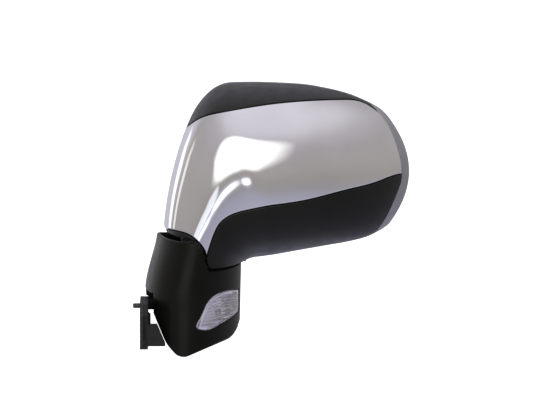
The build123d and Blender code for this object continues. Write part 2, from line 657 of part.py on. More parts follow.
# the lid carries the spring tower and the pad the carrier is screwed to
PAD_SCREWS = [(FOLD_Y - 11, 94), (FOLD_Y + 4, 94), (FOLD_Y - 3.5, 111)]
with BuildPart() as fold_case_lid:
    with BuildSketch(Plane.XY.offset(80)):
        add(case_outline())
    extrude(amount=3)
    with Locations((FOLD_X, FOLD_Y, 83)):
        Cylinder(15.8, 38, align=(Align.CENTER, Align.CENTER, Align.MIN))
    with Locations((FOLD_X + 12, FOLD_Y - 3.5, 89)):
        Box(24, 24, 28, align=(Align.MIN, Align.CENTER, Align.MIN))
    with Locations((FOLD_X + 17, FOLD_Y - 3.5, 88)):
        Box(15.5, 18, 30, align=(Align.MIN, Align.CENTER, Align.MIN), mode=Mode.SUBTRACT)
    with Locations((FOLD_X + 14, FOLD_Y - 3.5, 98)):
        Box(20, 24, 3, align=(Align.MIN, Align.CENTER, Align.MIN))
    with Locations((FOLD_X, FOLD_Y, 83)):
        Cylinder(13.4, 36, align=(Align.CENTER, Align.CENTER, Align.MIN), mode=Mode.SUBTRACT)
    with Locations((FOLD_X, FOLD_Y, 79)):
        Cylinder(7.05, 5, align=(Align.CENTER, Align.CENTER, Align.MIN), mode=Mode.SUBTRACT)
    with Locations((PINION_X, PINION_Y, 79)):
        Cylinder(1.55, 5, align=(Align.CENTER, Align.CENTER, Align.MIN), mode=Mode.SUBTRACT)
    with Locations((0, 0, 79)):
        with Locations(*CASE_SCREWS):
            Cylinder(1.35, 8, align=(Align.CENTER, Align.CENTER, Align.MIN), mode=Mode.SUBTRACT)
    with Locations(Plane.YZ.offset(FOLD_X + 30)):
        with Locations(*PAD_SCREWS):
            Cylinder(1.25, 10, align=(Align.CENTER, Align.CENTER, Align.MIN), mode=Mode.SUBTRACT)
fold_case_lid.part.label = "fold_case_lid"

MOTOR_X, MOTOR_Y = PINION_X - 4.5, PINION_Y + 4.0
with BuildPart() as fold_motor:
    with Locations((PINION_X, PINION_Y, 83)):
        Cylinder(7.5, 9, align=(Align.CENTER, Align.CENTER, Align.MIN))
    with Locations((MOTOR_X, MOTOR_Y, 92)):
        Cylinder(9.5, 26, align=(Align.CENTER, Align.CENTER, Align.MIN))
        Cylinder(3.5, 28, align=(Align.CENTER, Align.CENTER, Align.MIN))
    with Locations((FOLD_X, FOLD_Y, 83)):
        Cylinder(16.1, 40, align=(Align.CENTER, Align.CENTER, Align.MIN), mode=Mode.SUBTRACT)
    with Locations((PINION_X, PINION_Y, 82)):
        Cylinder(1.9, 4.4, align=(Align.CENTER, Align.CENTER, Align.MIN), mode=Mode.SUBTRACT)
fold_motor.part.label = "fold_motor"

with BuildPart() as fold_pinion:
    add(gear(PINION_X, PINION_Y, 64.2, 71.2, PINION_TEETH, 0.8, first=-60 + 180 / PINION_TEETH))
    with Locations((PINION_X, PINION_Y, 60.4)):
        Cylinder(1.5, 25, align=(Align.CENTER, Align.CENTER, Align.MIN))
    with Locations((PINION_X, PINION_Y, 62.4)):
        Cylinder(2.6, 11, align=(Align.CENTER, Align.CENTER, Align.MIN))
fold_pinion.part.label = "fold_pinion"

with BuildPart() as fold_case_screws:
    with Locations((0, 0, 76)):
        with Locations(*CASE_SCREWS):
            Cylinder(1.3, 7, align=(Align.CENTER, Align.CENTER, Align.MIN))
    with Locations((0, 0, 83)):
        with Locations(*CASE_SCREWS):
            Cylinder(1.9, 1.8, align=(Align.CENTER, Align.CENTER, Align.MIN))
fold_case_screws.part.label = "fold_case_screws"


# ---- carrier and tilt drive ---------------------------------------------------------------
CX, CZ = GLASS_C
PAD_X = FOLD_X + 36.0
with BuildPart() as head_carrier:
    with BuildSketch(Plane.XZ.offset(4)):
        with BuildLine():
            Polyline((PAD_X, 97), (150, 100), (186, 109), (209, 126), (212, 150), (206, 178), (186, 202),
                     (150, 207), (120, 207), (PAD_X, 192), close=True)
        make_face()
        fillet(vertices(), radius=8)
        with Locations((106, 150), (205, 152)):
            SlotOverall(34, 8, rotation=90, mode=Mode.SUBTRACT)
        with Locations((CX, 152)):
            RectangleRounded(60, 60, 8, mode=Mode.SUBTRACT)
        with Locations(*POSTS):
            Circle(1.8, mode=Mode.SUBTRACT)
    extrude(amount=3)
    with Locations((PAD_X, FOLD_Y - 3.5, 89)):
        Box(4, 24, 28, align=(Align.MIN, Align.CENTER, Align.MIN))
    with Locations((PAD_X, -9, 108)):
        Box(3, 5, 70, align=(Align.MIN, Align.MIN, Align.MIN))
    with Locations(Plane.YZ.offset(PAD_X - 1)):
        with Locations(*PAD_SCREWS):
            Cylinder(1.7, 12, align=(Align.CENTER, Align.CENTER, Align.MIN), mode=Mode.SUBTRACT)
    with Locations(Plane.YZ.offset(PAD_X + 4)):
        with Locations(*PAD_SCREWS):
            Cylinder(3.2, 12, align=(Align.CENTER, Align.CENTER, Align.MIN), mode=Mode.SUBTRACT)
head_carrier.part.label = "head_carrier"

with BuildPart() as carrier_screws:
    with Locations(Plane.YZ.offset(PAD_X - 4)):
        with Locations(*PAD_SCREWS):
            Cylinder(1.2, 8.5, align=(Align.CENTER, Align.CENTER, Align.MIN))
    with Locations(Plane.YZ.offset(PAD_X + 4)):
        with Locations(*PAD_SCREWS):
            Cylinder(2.8, 2.4, align=(Align.CENTER, Align.CENTER, Align.MIN))
carrier_screws.part.label = "carrier_screws"

with BuildPart() as housing_screws:
    with Locations(*[Plane.XZ.offset(4)]):
        with Locations(*POSTS):
            Cylinder(1.4, 9.5, align=(Align.CENTER, Align.CENTER, Align.MIN))
            Cylinder(3.0, 1.8, align=(Align.CENTER, Align.CENTER, Align.MAX))
housing_screws.part.label = "housing_screws"

CASE_W, CASE_H = 84.0, 84.0
with BuildPart() as actuator_case:
    with Locations((CX, -4, CZ)):
        Box(CASE_W, 26, CASE_H, align=(Align.CENTER, Align.MIN, Align.CENTER))
    fillet(edges().filter_by(Axis.Y), radius=14)
    offset(amount=-2.2, openings=faces().sort_by(Axis.Y)[-1])
    with Locations(Plane.XZ.offset(2.5)):
        with Locations((CX + TILT_ARM, CZ), (CX, CZ - TILT_ARM)):
            Cylinder(5.2, 18.5, align=(Align.CENTER, Align.CENTER, Align.MAX))
    with Locations(Plane.XZ.offset(1.0)):
        with Locations((CX + TILT_ARM, CZ), (CX, CZ - TILT_ARM)):
            Cylinder(3.06, 40, align=(Align.CENTER, Align.CENTER, Align.MAX), mode=Mode.SUBTRACT)
actuator_case.part.label = "actuator_case"

with BuildPart() as actuator_cover:
    with Locations((CX, 22, CZ)):
        Box(CASE_W, 2.5, CASE_H, align=(Align.CENTER, Align.MIN, Align.CENTER))
    fillet(edges().filter_by(Axis.Y), radius=14)
    with Locations(Plane.XZ.offset(-20)):
        with Locations((CX + TILT_ARM, CZ), (CX, CZ - TILT_ARM)):
            Cylinder(8.2, 10, align=(Align.CENTER, Align.CENTER, Align.MAX), mode=Mode.SUBTRACT)
    # two ears that carry the level pin of the gimbal
    for side in (-1, 1):
        with BuildSketch(Plane.YZ.offset(CX + side * 9.75 - 1.75)):
            with Locations((PIVOT_Y, CZ)):
                Circle(4.5)
            with Locations((27.5, CZ)):
                Rectangle(9, 9)
        extrude(amount=3.5)
    with Locations(Plane.YZ.offset(CX - 12)):
        with Locations((PIVOT_Y, CZ)):
            Cylinder(1.80, 24, align=(Align.CENTER, Align.CENTER, Align.MIN), mode=Mode.SUBTRACT)
actuator_cover.part.label = "actuator_cover"

with BuildPart() as tilt_motor:
    with Locations((CX - 22, 9, CZ - 14)):
        Cylinder(8.5, 30)
        Cylinder(3.5, 33)
    with Locations((CX - 22, 9, CZ - 33)):
        Cylinder(3.2, 10)
    with Locations((CX - 14, 9, CZ - 33)):
        Box(14, 12, 7)
tilt_motor.part.label = "tilt_motor"

with BuildPart() as pan_motor:
    with Locations((CX + 12, 9, CZ + 22)):
        Cylinder(8.5, 30, rotation=(0, 90, 0))
        Cylinder(3.5, 33, rotation=(0, 90, 0))
    with Locations((CX + 31, 9, CZ + 22)):
        Cylinder(3.2, 10, rotation=(0, 90, 0))
    with Locations((CX + 31, 9, CZ + 13)):
        Box(7, 12, 14)
pan_motor.part.label = "pan_motor"

with BuildPart() as actuator_screws:
    with Locations(Plane.XZ.offset(-24.5)):
        with Locations((CX - 34, CZ - 34), (CX + 34, CZ - 34), (CX - 34, CZ + 34), (CX + 34, CZ + 34)):
            Cylinder(2.8, 1.6, align=(Align.CENTER, Align.CENTER, Align.MAX))
actuator_screws.part.label = "actuator_screws"

# gimbal cross: the glass tips on its level pin and swings on its upright pin
with BuildPart() as pivot_cross:
    with Locations((CX, PIVOT_Y, CZ)):
        Cylinder(1.75, 22.8, rotation=(0, 90, 0))
        Cylinder(1.75, 22.8)
        Sphere(3.4)
pivot_cross.part.label = "pivot_cross"

with BuildPart() as glass_backing:
    with BuildSketch(Plane.XZ.offset(-46.5)):
        with BuildLine():
            Spline(*grow(GLASS_OUTLINE, -2.0), periodic=True)
        make_face()
    extrude(amount=2.0)
    # stiffening ring and ribs behind the plate
    with Locations(Plane.XZ.offset(-44.5)):
        with Locations((CX, CZ)):
            Cylinder(46, 2.5, align=(Align.CENTER, Align.CENTER, Align.MIN))
            Cylinder(43.5, 2.5, align=(Align.CENTER, Align.CENTER, Align.MIN), mode=Mode.SUBTRACT)
            with PolarLocations(32, 8, start_angle=22.5):
                Box(24, 2, 2.5, align=(Align.CENTER, Align.CENTER, Align.MIN))
    for side in (-1, 1):
        with BuildSketch(Plane.XY.offset(CZ + side * 9.75 - 1.75)):
            with Locations((CX, PIVOT_Y)):
                Circle(4.0)
            with Locations((CX, (PIVOT_Y + 44.6) / 2)):
                Rectangle(8, 44.6 - PIVOT_Y)
        extrude(amount=3.5)
    with Locations((CX, PIVOT_Y, CZ)):
        Cylinder(1.80, 24, mode=Mode.SUBTRACT)
    with Locations(Plane.XZ.offset(-28)):
        with Locations((CX + TILT_ARM, CZ), (CX, CZ - TILT_ARM)):
            Cylinder(6.4, 16.6, align=(Align.CENTER, Align.CENTER, Align.MAX))
            Cylinder(4.5, 15.5, align=(Align.CENTER, Align.CENTER, Align.MAX), mode=Mode.SUBTRACT)
glass_backing.part.label = "glass_backing"

with BuildPart() as heater_pad:
    with BuildSketch(Plane.XZ.offset(-47)):
        with BuildLine():
            Spline(*grow(GLASS_OUTLINE, -4.5), periodic=True)
        make_face()
    extrude(amount=0.5)
heater_pad.part.label = "heater_pad"

with BuildPart() as mirror_glass:
    with BuildSketch(Plane.XZ.offset(-49.2)):
        with BuildLine():
            Spline(*grow(GLASS_OUTLINE, -1.5), periodic=True)
        make_face()
    extrude(amount=2.2)
mirror_glass.part.label = "mirror_glass"


def push_rod(x, z):
    """A rod with a ball end that pushes a socket on the back of the glass."""
    with BuildPart() as rod:
        with Locations(Plane.XZ.offset(-4.5)):
            with Locations((x, z)):
                Cylinder(3.0, PIVOT_Y - 6.5, align=(Align.CENTER, Align.CENTER, Align.MAX))
        with Locations((x, PIVOT_Y, z)):
            Sphere(3.4)
    return rod


pan_plunger = push_rod(CX + TILT_ARM, CZ)
pan_plunger.part.label = "pan_plunger"
tilt_plunger = push_rod(CX, CZ - TILT_ARM)
tilt_plunger.part.label = "tilt_plunger"


# ---- turn indicator in the foot -----------------------------------------------------------
BULB_X, BULB_Z = 77.0, 13.0
with BuildPart() as indicator_bowl:
    add(foot_form(1.0))
    add(foot_form(13.0), mode=Mode.SUBTRACT)
    add(lens_shape(0.86), mode=Mode.INTERSECT)

with BuildPart() as indicator_housing:
    add(foot_form(2.9))
    add(foot_form(15.0), mode=Mode.SUBTRACT)
    add(lens_shape(0.965), mode=Mode.INTERSECT)
    add(indicator_bowl.part, mode=Mode.SUBTRACT)
    with Locations(Plane.XZ.offset(-10)):
        with Locations((BULB_X, BULB_Z)):
            Cylinder(5.2, 30, align=(Align.CENTER, Align.CENTER, Align.MIN), mode=Mode.SUBTRACT)
indicator_housing.part.label = "indicator_housing"

with BuildPart() as bulb_holder:
    with Locations(Plane.XZ.offset(-9)):
        with Locations((BULB_X, BULB_Z)):
            Cylinder(7.5, 4, align=(Align.CENTER, Align.CENTER, Align.MIN))
            Cylinder(4.9, 23, align=(Align.CENTER, Align.CENTER, Align.MIN))
            Cylinder(3.6, 30, align=(Align.CENTER, Align.CENTER, Align.MIN), mode=Mode.SUBTRACT)
bulb_holder.part.label = "bulb_holder"

with BuildPart() as indicator_bulb:
    with Locations(Plane.XZ.offset(4)):
        with Locations((BULB_X, BULB_Z)):
            Cylinder(3.5, 13.5, align=(Align.CENTER, Align.CENTER, Align.MIN))
    fillet(edges().filter_by(GeomType.CIRCLE).group_by(Axis.Y)[0], 3.2)
indicator_bulb.part.label = "indicator_bulb"


# ---- export -------------------------------------------------------------------------------
os.makedirs("parts", exist_ok=True)
export_step(foot_cover.part, "parts/foot_cover.step")
export_step(base_bracket.part, "parts/base_bracket.step")
export_step(cover_screws.part, "parts/cover_screws.step")
export_step(door_gasket.part, "parts/door_gasket.step")
export_step(cable_grommet.part, "parts/cable_grommet.step")
export_step(locating_peg.part, "parts/locating_peg.step")
export_step(base_tray.part, "parts/base_tray.step")
export_step(indicator_lens.part, "parts/indicator_lens.step")
export_step(indicator_housing.part, "parts/indicator_housing.step")
export_step(bulb_holder.part, "parts/bulb_holder.step")
export_step(indicator_bulb.part, "parts/indicator_bulb.step")
export_step(pivot_shaft.part, "parts/pivot_shaft.step")
export_step(shaft_screws.part, "parts/shaft_screws.step")
export_step(detent_ring.part, "parts/detent_ring.step")
export_step(fold_gear.part, "parts/fold_gear.step")
export_step(thrust_washer.part, "parts/thrust_washer.step")
export_step(fold_spring.part, "parts/fold_spring.step")
export_step(spring_retainer.part, "parts/spring_retainer.step")
export_step(fold_case.part, "parts/fold_case.step")
export_step(fold_case_lid.part, "parts/fold_case_lid.step")
export_step(fold_case_screws.part, "parts/fold_case_screws.step")
export_step(fold_motor.part, "parts/fold_motor.step")
export_step(fold_pinion.part, "parts/fold_pinion.step")
export_step(head_carrier.part, "parts/head_carrier.step")
export_step(carrier_screws.part, "parts/carrier_screws.step")
export_step(housing_screws.part, "parts/housing_screws.step")
export_step(lower_housing.part, "parts/lower_housing.step")
export_step(upper_housing.part, "parts/upper_housing.step")
export_step(chrome_cover.part, "parts/chrome_cover.step")
export_step(bezel.part, "parts/bezel.step")
export_step(actuator_case.part, "parts/actuator_case.step")
export_step(actuator_cover.part, "parts/actuator_cover.step")
export_step(actuator_screws.part, "parts/actuator_screws.step")
export_step(tilt_motor.part, "parts/tilt_motor.step")
export_step(pan_motor.part, "parts/pan_motor.step")
export_step(pivot_cross.part, "parts/pivot_cross.step")
export_step(glass_backing.part, "parts/glass_backing.step")
export_step(heater_pad.part, "parts/heater_pad.step")
export_step(mirror_glass.part, "parts/mirror_glass.step")
export_step(tilt_plunger.part, "parts/tilt_plunger.step")
export_step(pan_plunger.part, "parts/pan_plunger.step")
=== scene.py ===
"""The looks of a left-hand power-folding door mirror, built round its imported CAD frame."""

import math

import bpy
import numpy as np
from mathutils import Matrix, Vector


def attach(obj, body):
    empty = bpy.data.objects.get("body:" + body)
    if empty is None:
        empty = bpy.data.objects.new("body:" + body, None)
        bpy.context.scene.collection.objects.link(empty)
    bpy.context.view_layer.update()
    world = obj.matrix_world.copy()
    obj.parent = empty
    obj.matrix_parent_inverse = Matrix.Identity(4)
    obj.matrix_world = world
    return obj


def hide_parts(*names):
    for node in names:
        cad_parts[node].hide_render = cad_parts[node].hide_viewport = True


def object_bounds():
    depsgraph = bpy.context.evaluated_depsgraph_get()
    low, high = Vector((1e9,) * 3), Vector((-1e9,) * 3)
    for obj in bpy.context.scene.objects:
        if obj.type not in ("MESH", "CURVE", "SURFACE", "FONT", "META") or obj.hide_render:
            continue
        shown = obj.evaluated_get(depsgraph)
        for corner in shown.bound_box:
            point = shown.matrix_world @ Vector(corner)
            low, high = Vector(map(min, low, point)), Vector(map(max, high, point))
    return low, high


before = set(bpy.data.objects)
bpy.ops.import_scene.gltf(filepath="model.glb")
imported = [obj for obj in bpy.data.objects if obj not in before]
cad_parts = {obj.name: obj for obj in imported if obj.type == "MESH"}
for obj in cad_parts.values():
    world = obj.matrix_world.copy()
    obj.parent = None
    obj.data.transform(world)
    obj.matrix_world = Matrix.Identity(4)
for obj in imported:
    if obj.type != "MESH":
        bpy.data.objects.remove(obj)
CAD_LOW, CAD_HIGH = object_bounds()

# ---- lengths here are millimetres in the CAD frame; meshes are written in metres ------------
MM = 0.001
TIP = math.radians(8.0)              # the styling view looks down by this angle
RIM_Y = 62.0                         # rear plane of the head
BEZEL_Y = 56.0                       # where the bezel starts above and below
FOOT_BACK_Y = 38.0                   # rear plane of the foot
FOOT_NOSE = 1.8
HEAD_DEPTH, HEAD_END_X, HEAD_END_BOW = 116.0, 250.7, 20.0
SEAM_Z, DECK_Z, COLLAR_Z = 88.6, 56.0, 85.4
SEAM_X = 103.5
FOLD = (60.0, 8.0)                   # the upright axis of the folding joint

# stations of the head: rim chord ends in the styling view, depth, fullness and bow
HEAD_STATIONS = [
    (22.0, 20.0, 101.5, 20.0, 94.0, 0.12, -6.0),
    (22.0, 54.0, 101.5, 52.0, 94.0, 0.12, -6.0),
    (22.7, 88.0, 102.6, 59.5, 96.0, 0.12, -5.0),
    (25.8, 119.0, 105.3, 63.3, 99.0, 0.12, -3.0),
    (32.5, 153.0, 109.0, 65.3, 103.0, 0.12, 0.0),
    (43.0, 188.0, 113.0, 66.3, 107.0, 0.1, 0.0),
    (57.5, 218.5, 118.0, 67.0, 110.0, 0.14, 0.0),
    (79.0, 238.0, 125.0, 67.8, 112.0, 0.18, 0.0),
    (108.0, 241.3, 137.0, 69.7, 113.0, 0.2, 0.0),
]
END_TOP = (239.6, 235.8, 230.3, 222.8, 215.3, 207.6, 203.8)
END_UNDER = (73.3, 77.6, 81.2, 85.4, 91.4, 96.7, 99.3)

# heights of the foot sections, the ends of their chords and the bow of their arches
FOOT_SECTIONS = [
    (-40.0, 6.5, 99.0, -5.5), (-20.0, 6.5, 99.4, -5.0), (0.0, 6.2, 99.9, -4.8),
    (17.0, 5.4, 100.3, -4.4), (31.0, 4.9, 100.6, -4.0), (45.0, 7.0, 101.0, -3.0),
    (62.0, 11.5, 101.3, -2.0), (83.0, 16.5, 101.5, -1.0), (105.0, 18.0, 101.5, 0.0),
]

# outlines in the styling view
CHROME_TOP = [(8, 176), (30, 184), (45.4, 194.6), (57.6, 203), (83, 210.2), (130, 218), (170.4, 221.7),
              (202, 222.9), (219, 221.6), (232, 215.4), (244, 206), (275, 180)]
CHROME_UNDER = [(275, 148.5), (262, 148), (237.3, 139.7), (210.5, 132.6), (183.7, 125.6), (157, 119.6),
                (130, 115.8), (108.6, 111.6), (95.8, 108.3), (86.9, 104), (80.5, 98.6), (75.4, 90),
                (71.6, 79.8), (67, 65.0)]
CHROME_TAIL = [(67, 65.0), (63, 73.4), (57.6, 79.8), (50.3, 86.3), (35.9, 91), (24, 93), (8, 95)]
BEZEL_LINE = [(222, 232), (232, 218.5), (244.5, 205), (254, 188), (260, 171), (263.2, 154), (262.6, 142),
              (256, 123.4), (249.4, 108.7), (242, 96.5), (232, 84)]
FOOT_OUTLINE = [(-30, 30), (6.0, 27.5), (14.8, 5), (26.4, -22), (37, -33.7), (45.2, -35.4), (92, -15.5),
                (99.3, -2.5), (102, 12), (140, 20), (140, 160), (-30, 160)]
LENS_OUTLINE = [(57.7, -5.9), (61.3, 4.2), (66, 14.7), (71.8, 23.3), (82.3, 29), (92.8, 31.7), (101, 31),
                (103.6, 25.2), (101, 14.7), (95.2, 7), (80.9, -2), (68.9, -7.8), (60.3, -7.3)]
LENS_C = (81.0, 12.0)
# outlines along X and Z
STEP_LINE = [(50, 88.6), (57, 85.6), (63, 78.5), (66.4, 70), (68.4, 61), (71.5, 57)]
GLASS_OUTLINE = [(64, 190), (67, 206), (80, 218), (110, 221.5), (150, 220.5), (195, 213), (225, 203),
                 (243, 188), (252.5, 167), (256, 145), (251.5, 123), (240, 105), (222, 92.5), (184, 84.5),
                 (152, 80.5), (130, 82), (113, 88.5), (97, 97.5), (82, 107), (72.5, 121), (66, 142),
                 (62.5, 165)]


# ---- curves and forms ------------------------------------------------------------------------
def blend(values, t):
    """A smooth curve through evenly spaced values, read at every t from 0 to 1."""
    values = np.asarray(values, float)
    last = len(values) - 1
    ends = [2 * values[0] - values[1]], [2 * values[-1] - values[-2]]
    padded = np.concatenate([ends[0], values, ends[1]])
    i = np.minimum((t * last).astype(int), last - 1)
    s = t * last - i
    before, a, b, after = padded[i], padded[i + 1], padded[i + 2], padded[i + 3]
    ta, tb = (b - before) / 2, (after - a) / 2
    return (a * (2 * s**3 - 3 * s**2 + 1) + ta * (s**3 - 2 * s**2 + s)
            + b * (3 * s**2 - 2 * s**3) + tb * (s**3 - s**2))


def spline(points, per_span=10, closed=False):
    """A cubic curve through points, without kinks in its bend."""
    p = np.array(points, float)
    if closed:
        p = np.vstack([p, p[:1]])
    count = len(p)
    h = np.linalg.norm(np.diff(p, axis=0), axis=1)
    system = np.zeros((count, count))
    right = np.zeros((count, p.shape[1]))
    slopes = np.diff(p, axis=0) / h[:, None]
    for i in range(1, count - 1):
        system[i, i - 1:i + 2] = h[i - 1], 2 * (h[i - 1] + h[i]), h[i]
        right[i] = 6 * (slopes[i] - slopes[i - 1])
    system[0, 0] = 1
    if closed:
        system[0, -1] = -1
        system[-1, :2] = 2 * h[0], h[0]
        system[-1, -2:] = h[-1], 2 * h[-1]
        right[-1] = 6 * (slopes[0] - slopes[-1])
    else:
        system[-1, -1] = 1
    bend = np.linalg.solve(system, right)
    line = []
    for i in range(count - 1):
        for k in range(per_span):
            s = h[i] * k / per_span
            r = h[i] - s
            line.append((bend[i] * r**3 + bend[i + 1] * s**3) / (6 * h[i])
                        + (p[i] / h[i] - bend[i] * h[i] / 6) * r
                        + (p[i + 1] / h[i] - bend[i + 1] * h[i] / 6) * s)
    if not closed:
        line.append(p[-1])
    return np.array(line)


def head_stations():
    stations = list(HEAD_STATIONS)
    count = len(END_TOP)
    for i in range(count):
        share = i / (count - 1)
        turn = math.radians(25 + 65 * share)
        x = 90.0 + (HEAD_END_X - 90.0) * math.sin(turn)
        stations.append((x, END_TOP[i], x, END_UNDER[i], HEAD_DEPTH * math.cos(turn), 0.2,
                         HEAD_END_BOW * share**1.5))
    return stations


HEAD_COLUMNS = list(zip(*head_stations()))


def head_form(uv):
    """Points of the head's outer form."""
    x0, y0, x1, y1, depth, full, bow = [blend(v, uv[:, 0]) for v in HEAD_COLUMNS]
    turn = np.pi * uv[:, 1]
    across = -np.cos(turn)
    x = (x0 + x1) / 2 + (x1 - x0) / 2 * across + bow * (1 - across**2)
    up = (y0 + y1) / 2 + (y1 - y0) / 2 * across
    y = RIM_Y - depth * np.sin(turn) * (1 + full * across**2)
    return np.stack([x, y, (up - RIM_Y * math.sin(TIP)) / math.cos(TIP)], axis=1)


FOOT_LINE = spline(FOOT_SECTIONS, per_span=8)


def foot_section(z):
    """Chord ends and bow of the foot at heights z."""
    return [np.interp(z, FOOT_LINE[:, 0], FOOT_LINE[:, k]) for k in (1, 2, 3)]


def foot_form(uv):
    """Points of the foot's outer form."""
    z = -45.0 + 138.0 * uv[:, 0]
    x0, x1, bow = foot_section(z)
    turn = np.pi * uv[:, 1]
    rise = np.maximum(0, 1 - np.abs(np.cos(turn))**FOOT_NOSE)**(1 / FOOT_NOSE)
    x = (x0 + x1) / 2 - (x1 - x0) / 2 * np.cos(turn) + bow * np.sin(turn)**2
    y = FOOT_BACK_Y - (80.0 + 0.05 * (60.0 - z)) * rise
    return np.stack([x, y, z], axis=1)


def foot_zone(p):
    """How far a point is inside the foot's outer form, near its surface."""
    x0, x1, bow = foot_section(p[:, 2])
    rise = np.clip((FOOT_BACK_Y - p[:, 1]) / (80.0 + 0.05 * (60.0 - p[:, 2])), 0, 2)
    swell = bow * (1 - np.maximum(0, 1 - rise**FOOT_NOSE)**(2 / FOOT_NOSE))
    across = np.abs(p[:, 0] - (x0 + x1) / 2 - swell) / ((x1 - x0) / 2)
    return 45.0 * (1 - (across**FOOT_NOSE + rise**FOOT_NOSE)**(1 / FOOT_NOSE))


def window(form, u0, u1, v0, v1):
    """The part of a form between two lines each way."""
    low, size = np.array([u0, v0]), np.array([u1 - u0, v1 - v0])
    return lambda uv: form(low + uv * size)


def rounded(points, radius, steps=5):
    """A closed outline with its corners cut to arcs."""
    p = np.array(points, float)
    line = []
    for before, corner, after in zip(np.roll(p, 1, axis=0), p, np.roll(p, -1, axis=0)):
        a, b = before - corner, after - corner
        la, lb = np.linalg.norm(a), np.linalg.norm(b)
        reach = min(radius, la / 2.1, lb / 2.1)
        start, end = corner + a / la * reach, corner + b / lb * reach
        for k in range(steps + 1):
            t = k / steps
            line.append((1 - t)**2 * start + 2 * t * (1 - t) * corner + t**2 * end)
    return np.array(line)


def flat_form(corner, along, up):
    """A flat sheet from a corner and two sides."""
    corner, along, up = [np.array(v, float) for v in (corner, along, up)]
    return lambda uv: corner + uv[:, :1] * along + uv[:, 1:] * up


# ---- fields: how far a point is inside a region, in millimetres ------------------------------
def styling(points):
    """x and y of points in the styling view."""
    return np.stack([points[:, 0], points[:, 2] * math.cos(TIP) + points[:, 1] * math.sin(TIP)], axis=1)


def inside(outline, points):
    """Distance to a closed outline, positive inside it."""
    best = np.full(len(points), 1e18)
    within = np.zeros(len(points), bool)
    px, py = points[:, 0], points[:, 1]
    for (ax, ay), (bx, by) in zip(outline, np.roll(outline, -1, axis=0)):
        ex, ey = bx - ax, by - ay
        wx, wy = px - ax, py - ay
        s = np.clip((wx * ex + wy * ey) / max(ex * ex + ey * ey, 1e-12), 0, 1)
        best = np.minimum(best, (wx - s * ex)**2 + (wy - s * ey)**2)
        if ay != by:
            within ^= ((ay > py) != (by > py)) & (px < ex * (py - ay) / ey + ax)
    return np.where(within, 1.0, -1.0) * np.sqrt(best)


CHROME_LOOP = np.vstack([spline(CHROME_TOP), spline(CHROME_UNDER), spline(CHROME_TAIL)[1:]])
BEZEL_LOOP = np.vstack([spline(BEZEL_LINE), [(232, 20), (320, 20), (320, 280), (222, 280)]])
STEP_LOOP = np.vstack([spline(STEP_LINE), [(140, 57), (140, 130), (50, 130)]])
FOOT_LOOP = rounded(FOOT_OUTLINE, 6.0)
LENS_LOOP = spline(LENS_OUTLINE, closed=True)
GLASS_LOOP = spline(GLASS_OUTLINE, per_span=8, closed=True)


def chrome_zone(p):
    return inside(CHROME_LOOP, styling(p))


def bezel_zone(p):
    return np.maximum(p[:, 1] - BEZEL_Y, inside(BEZEL_LOOP, styling(p)))


def head_zone(p):
    pod = np.minimum(p[:, 0] - SEAM_X, p[:, 2] - 50)
    return np.maximum.reduce([p[:, 2] - SEAM_Z, inside(STEP_LOOP, p[:, [0, 2]]), pod])


def over_split(p):
    """Positive above the joint between the housings, which the chrome hides."""
    ab = styling(p)
    slope = 33.0 / 350.0
    return (ab[:, 1] - 150.0 - slope * (ab[:, 0] + 20)) / math.hypot(1, slope)


def lens_zone(p, size=1.0):
    loop = (LENS_LOOP - LENS_C) * size + LENS_C
    return np.minimum(inside(loop, styling(p)), 20 - p[:, 1])


# ---- trimmed shells --------------------------------------------------------------------------
EDGE_STEPS = 4                       # facets across a rounded edge
WIDEST_EDGE = 3.0                    # the largest radius that a varying edge reaches
SHARP_ANGLE = math.radians(35)       # a crease sharper than this isn't smoothed


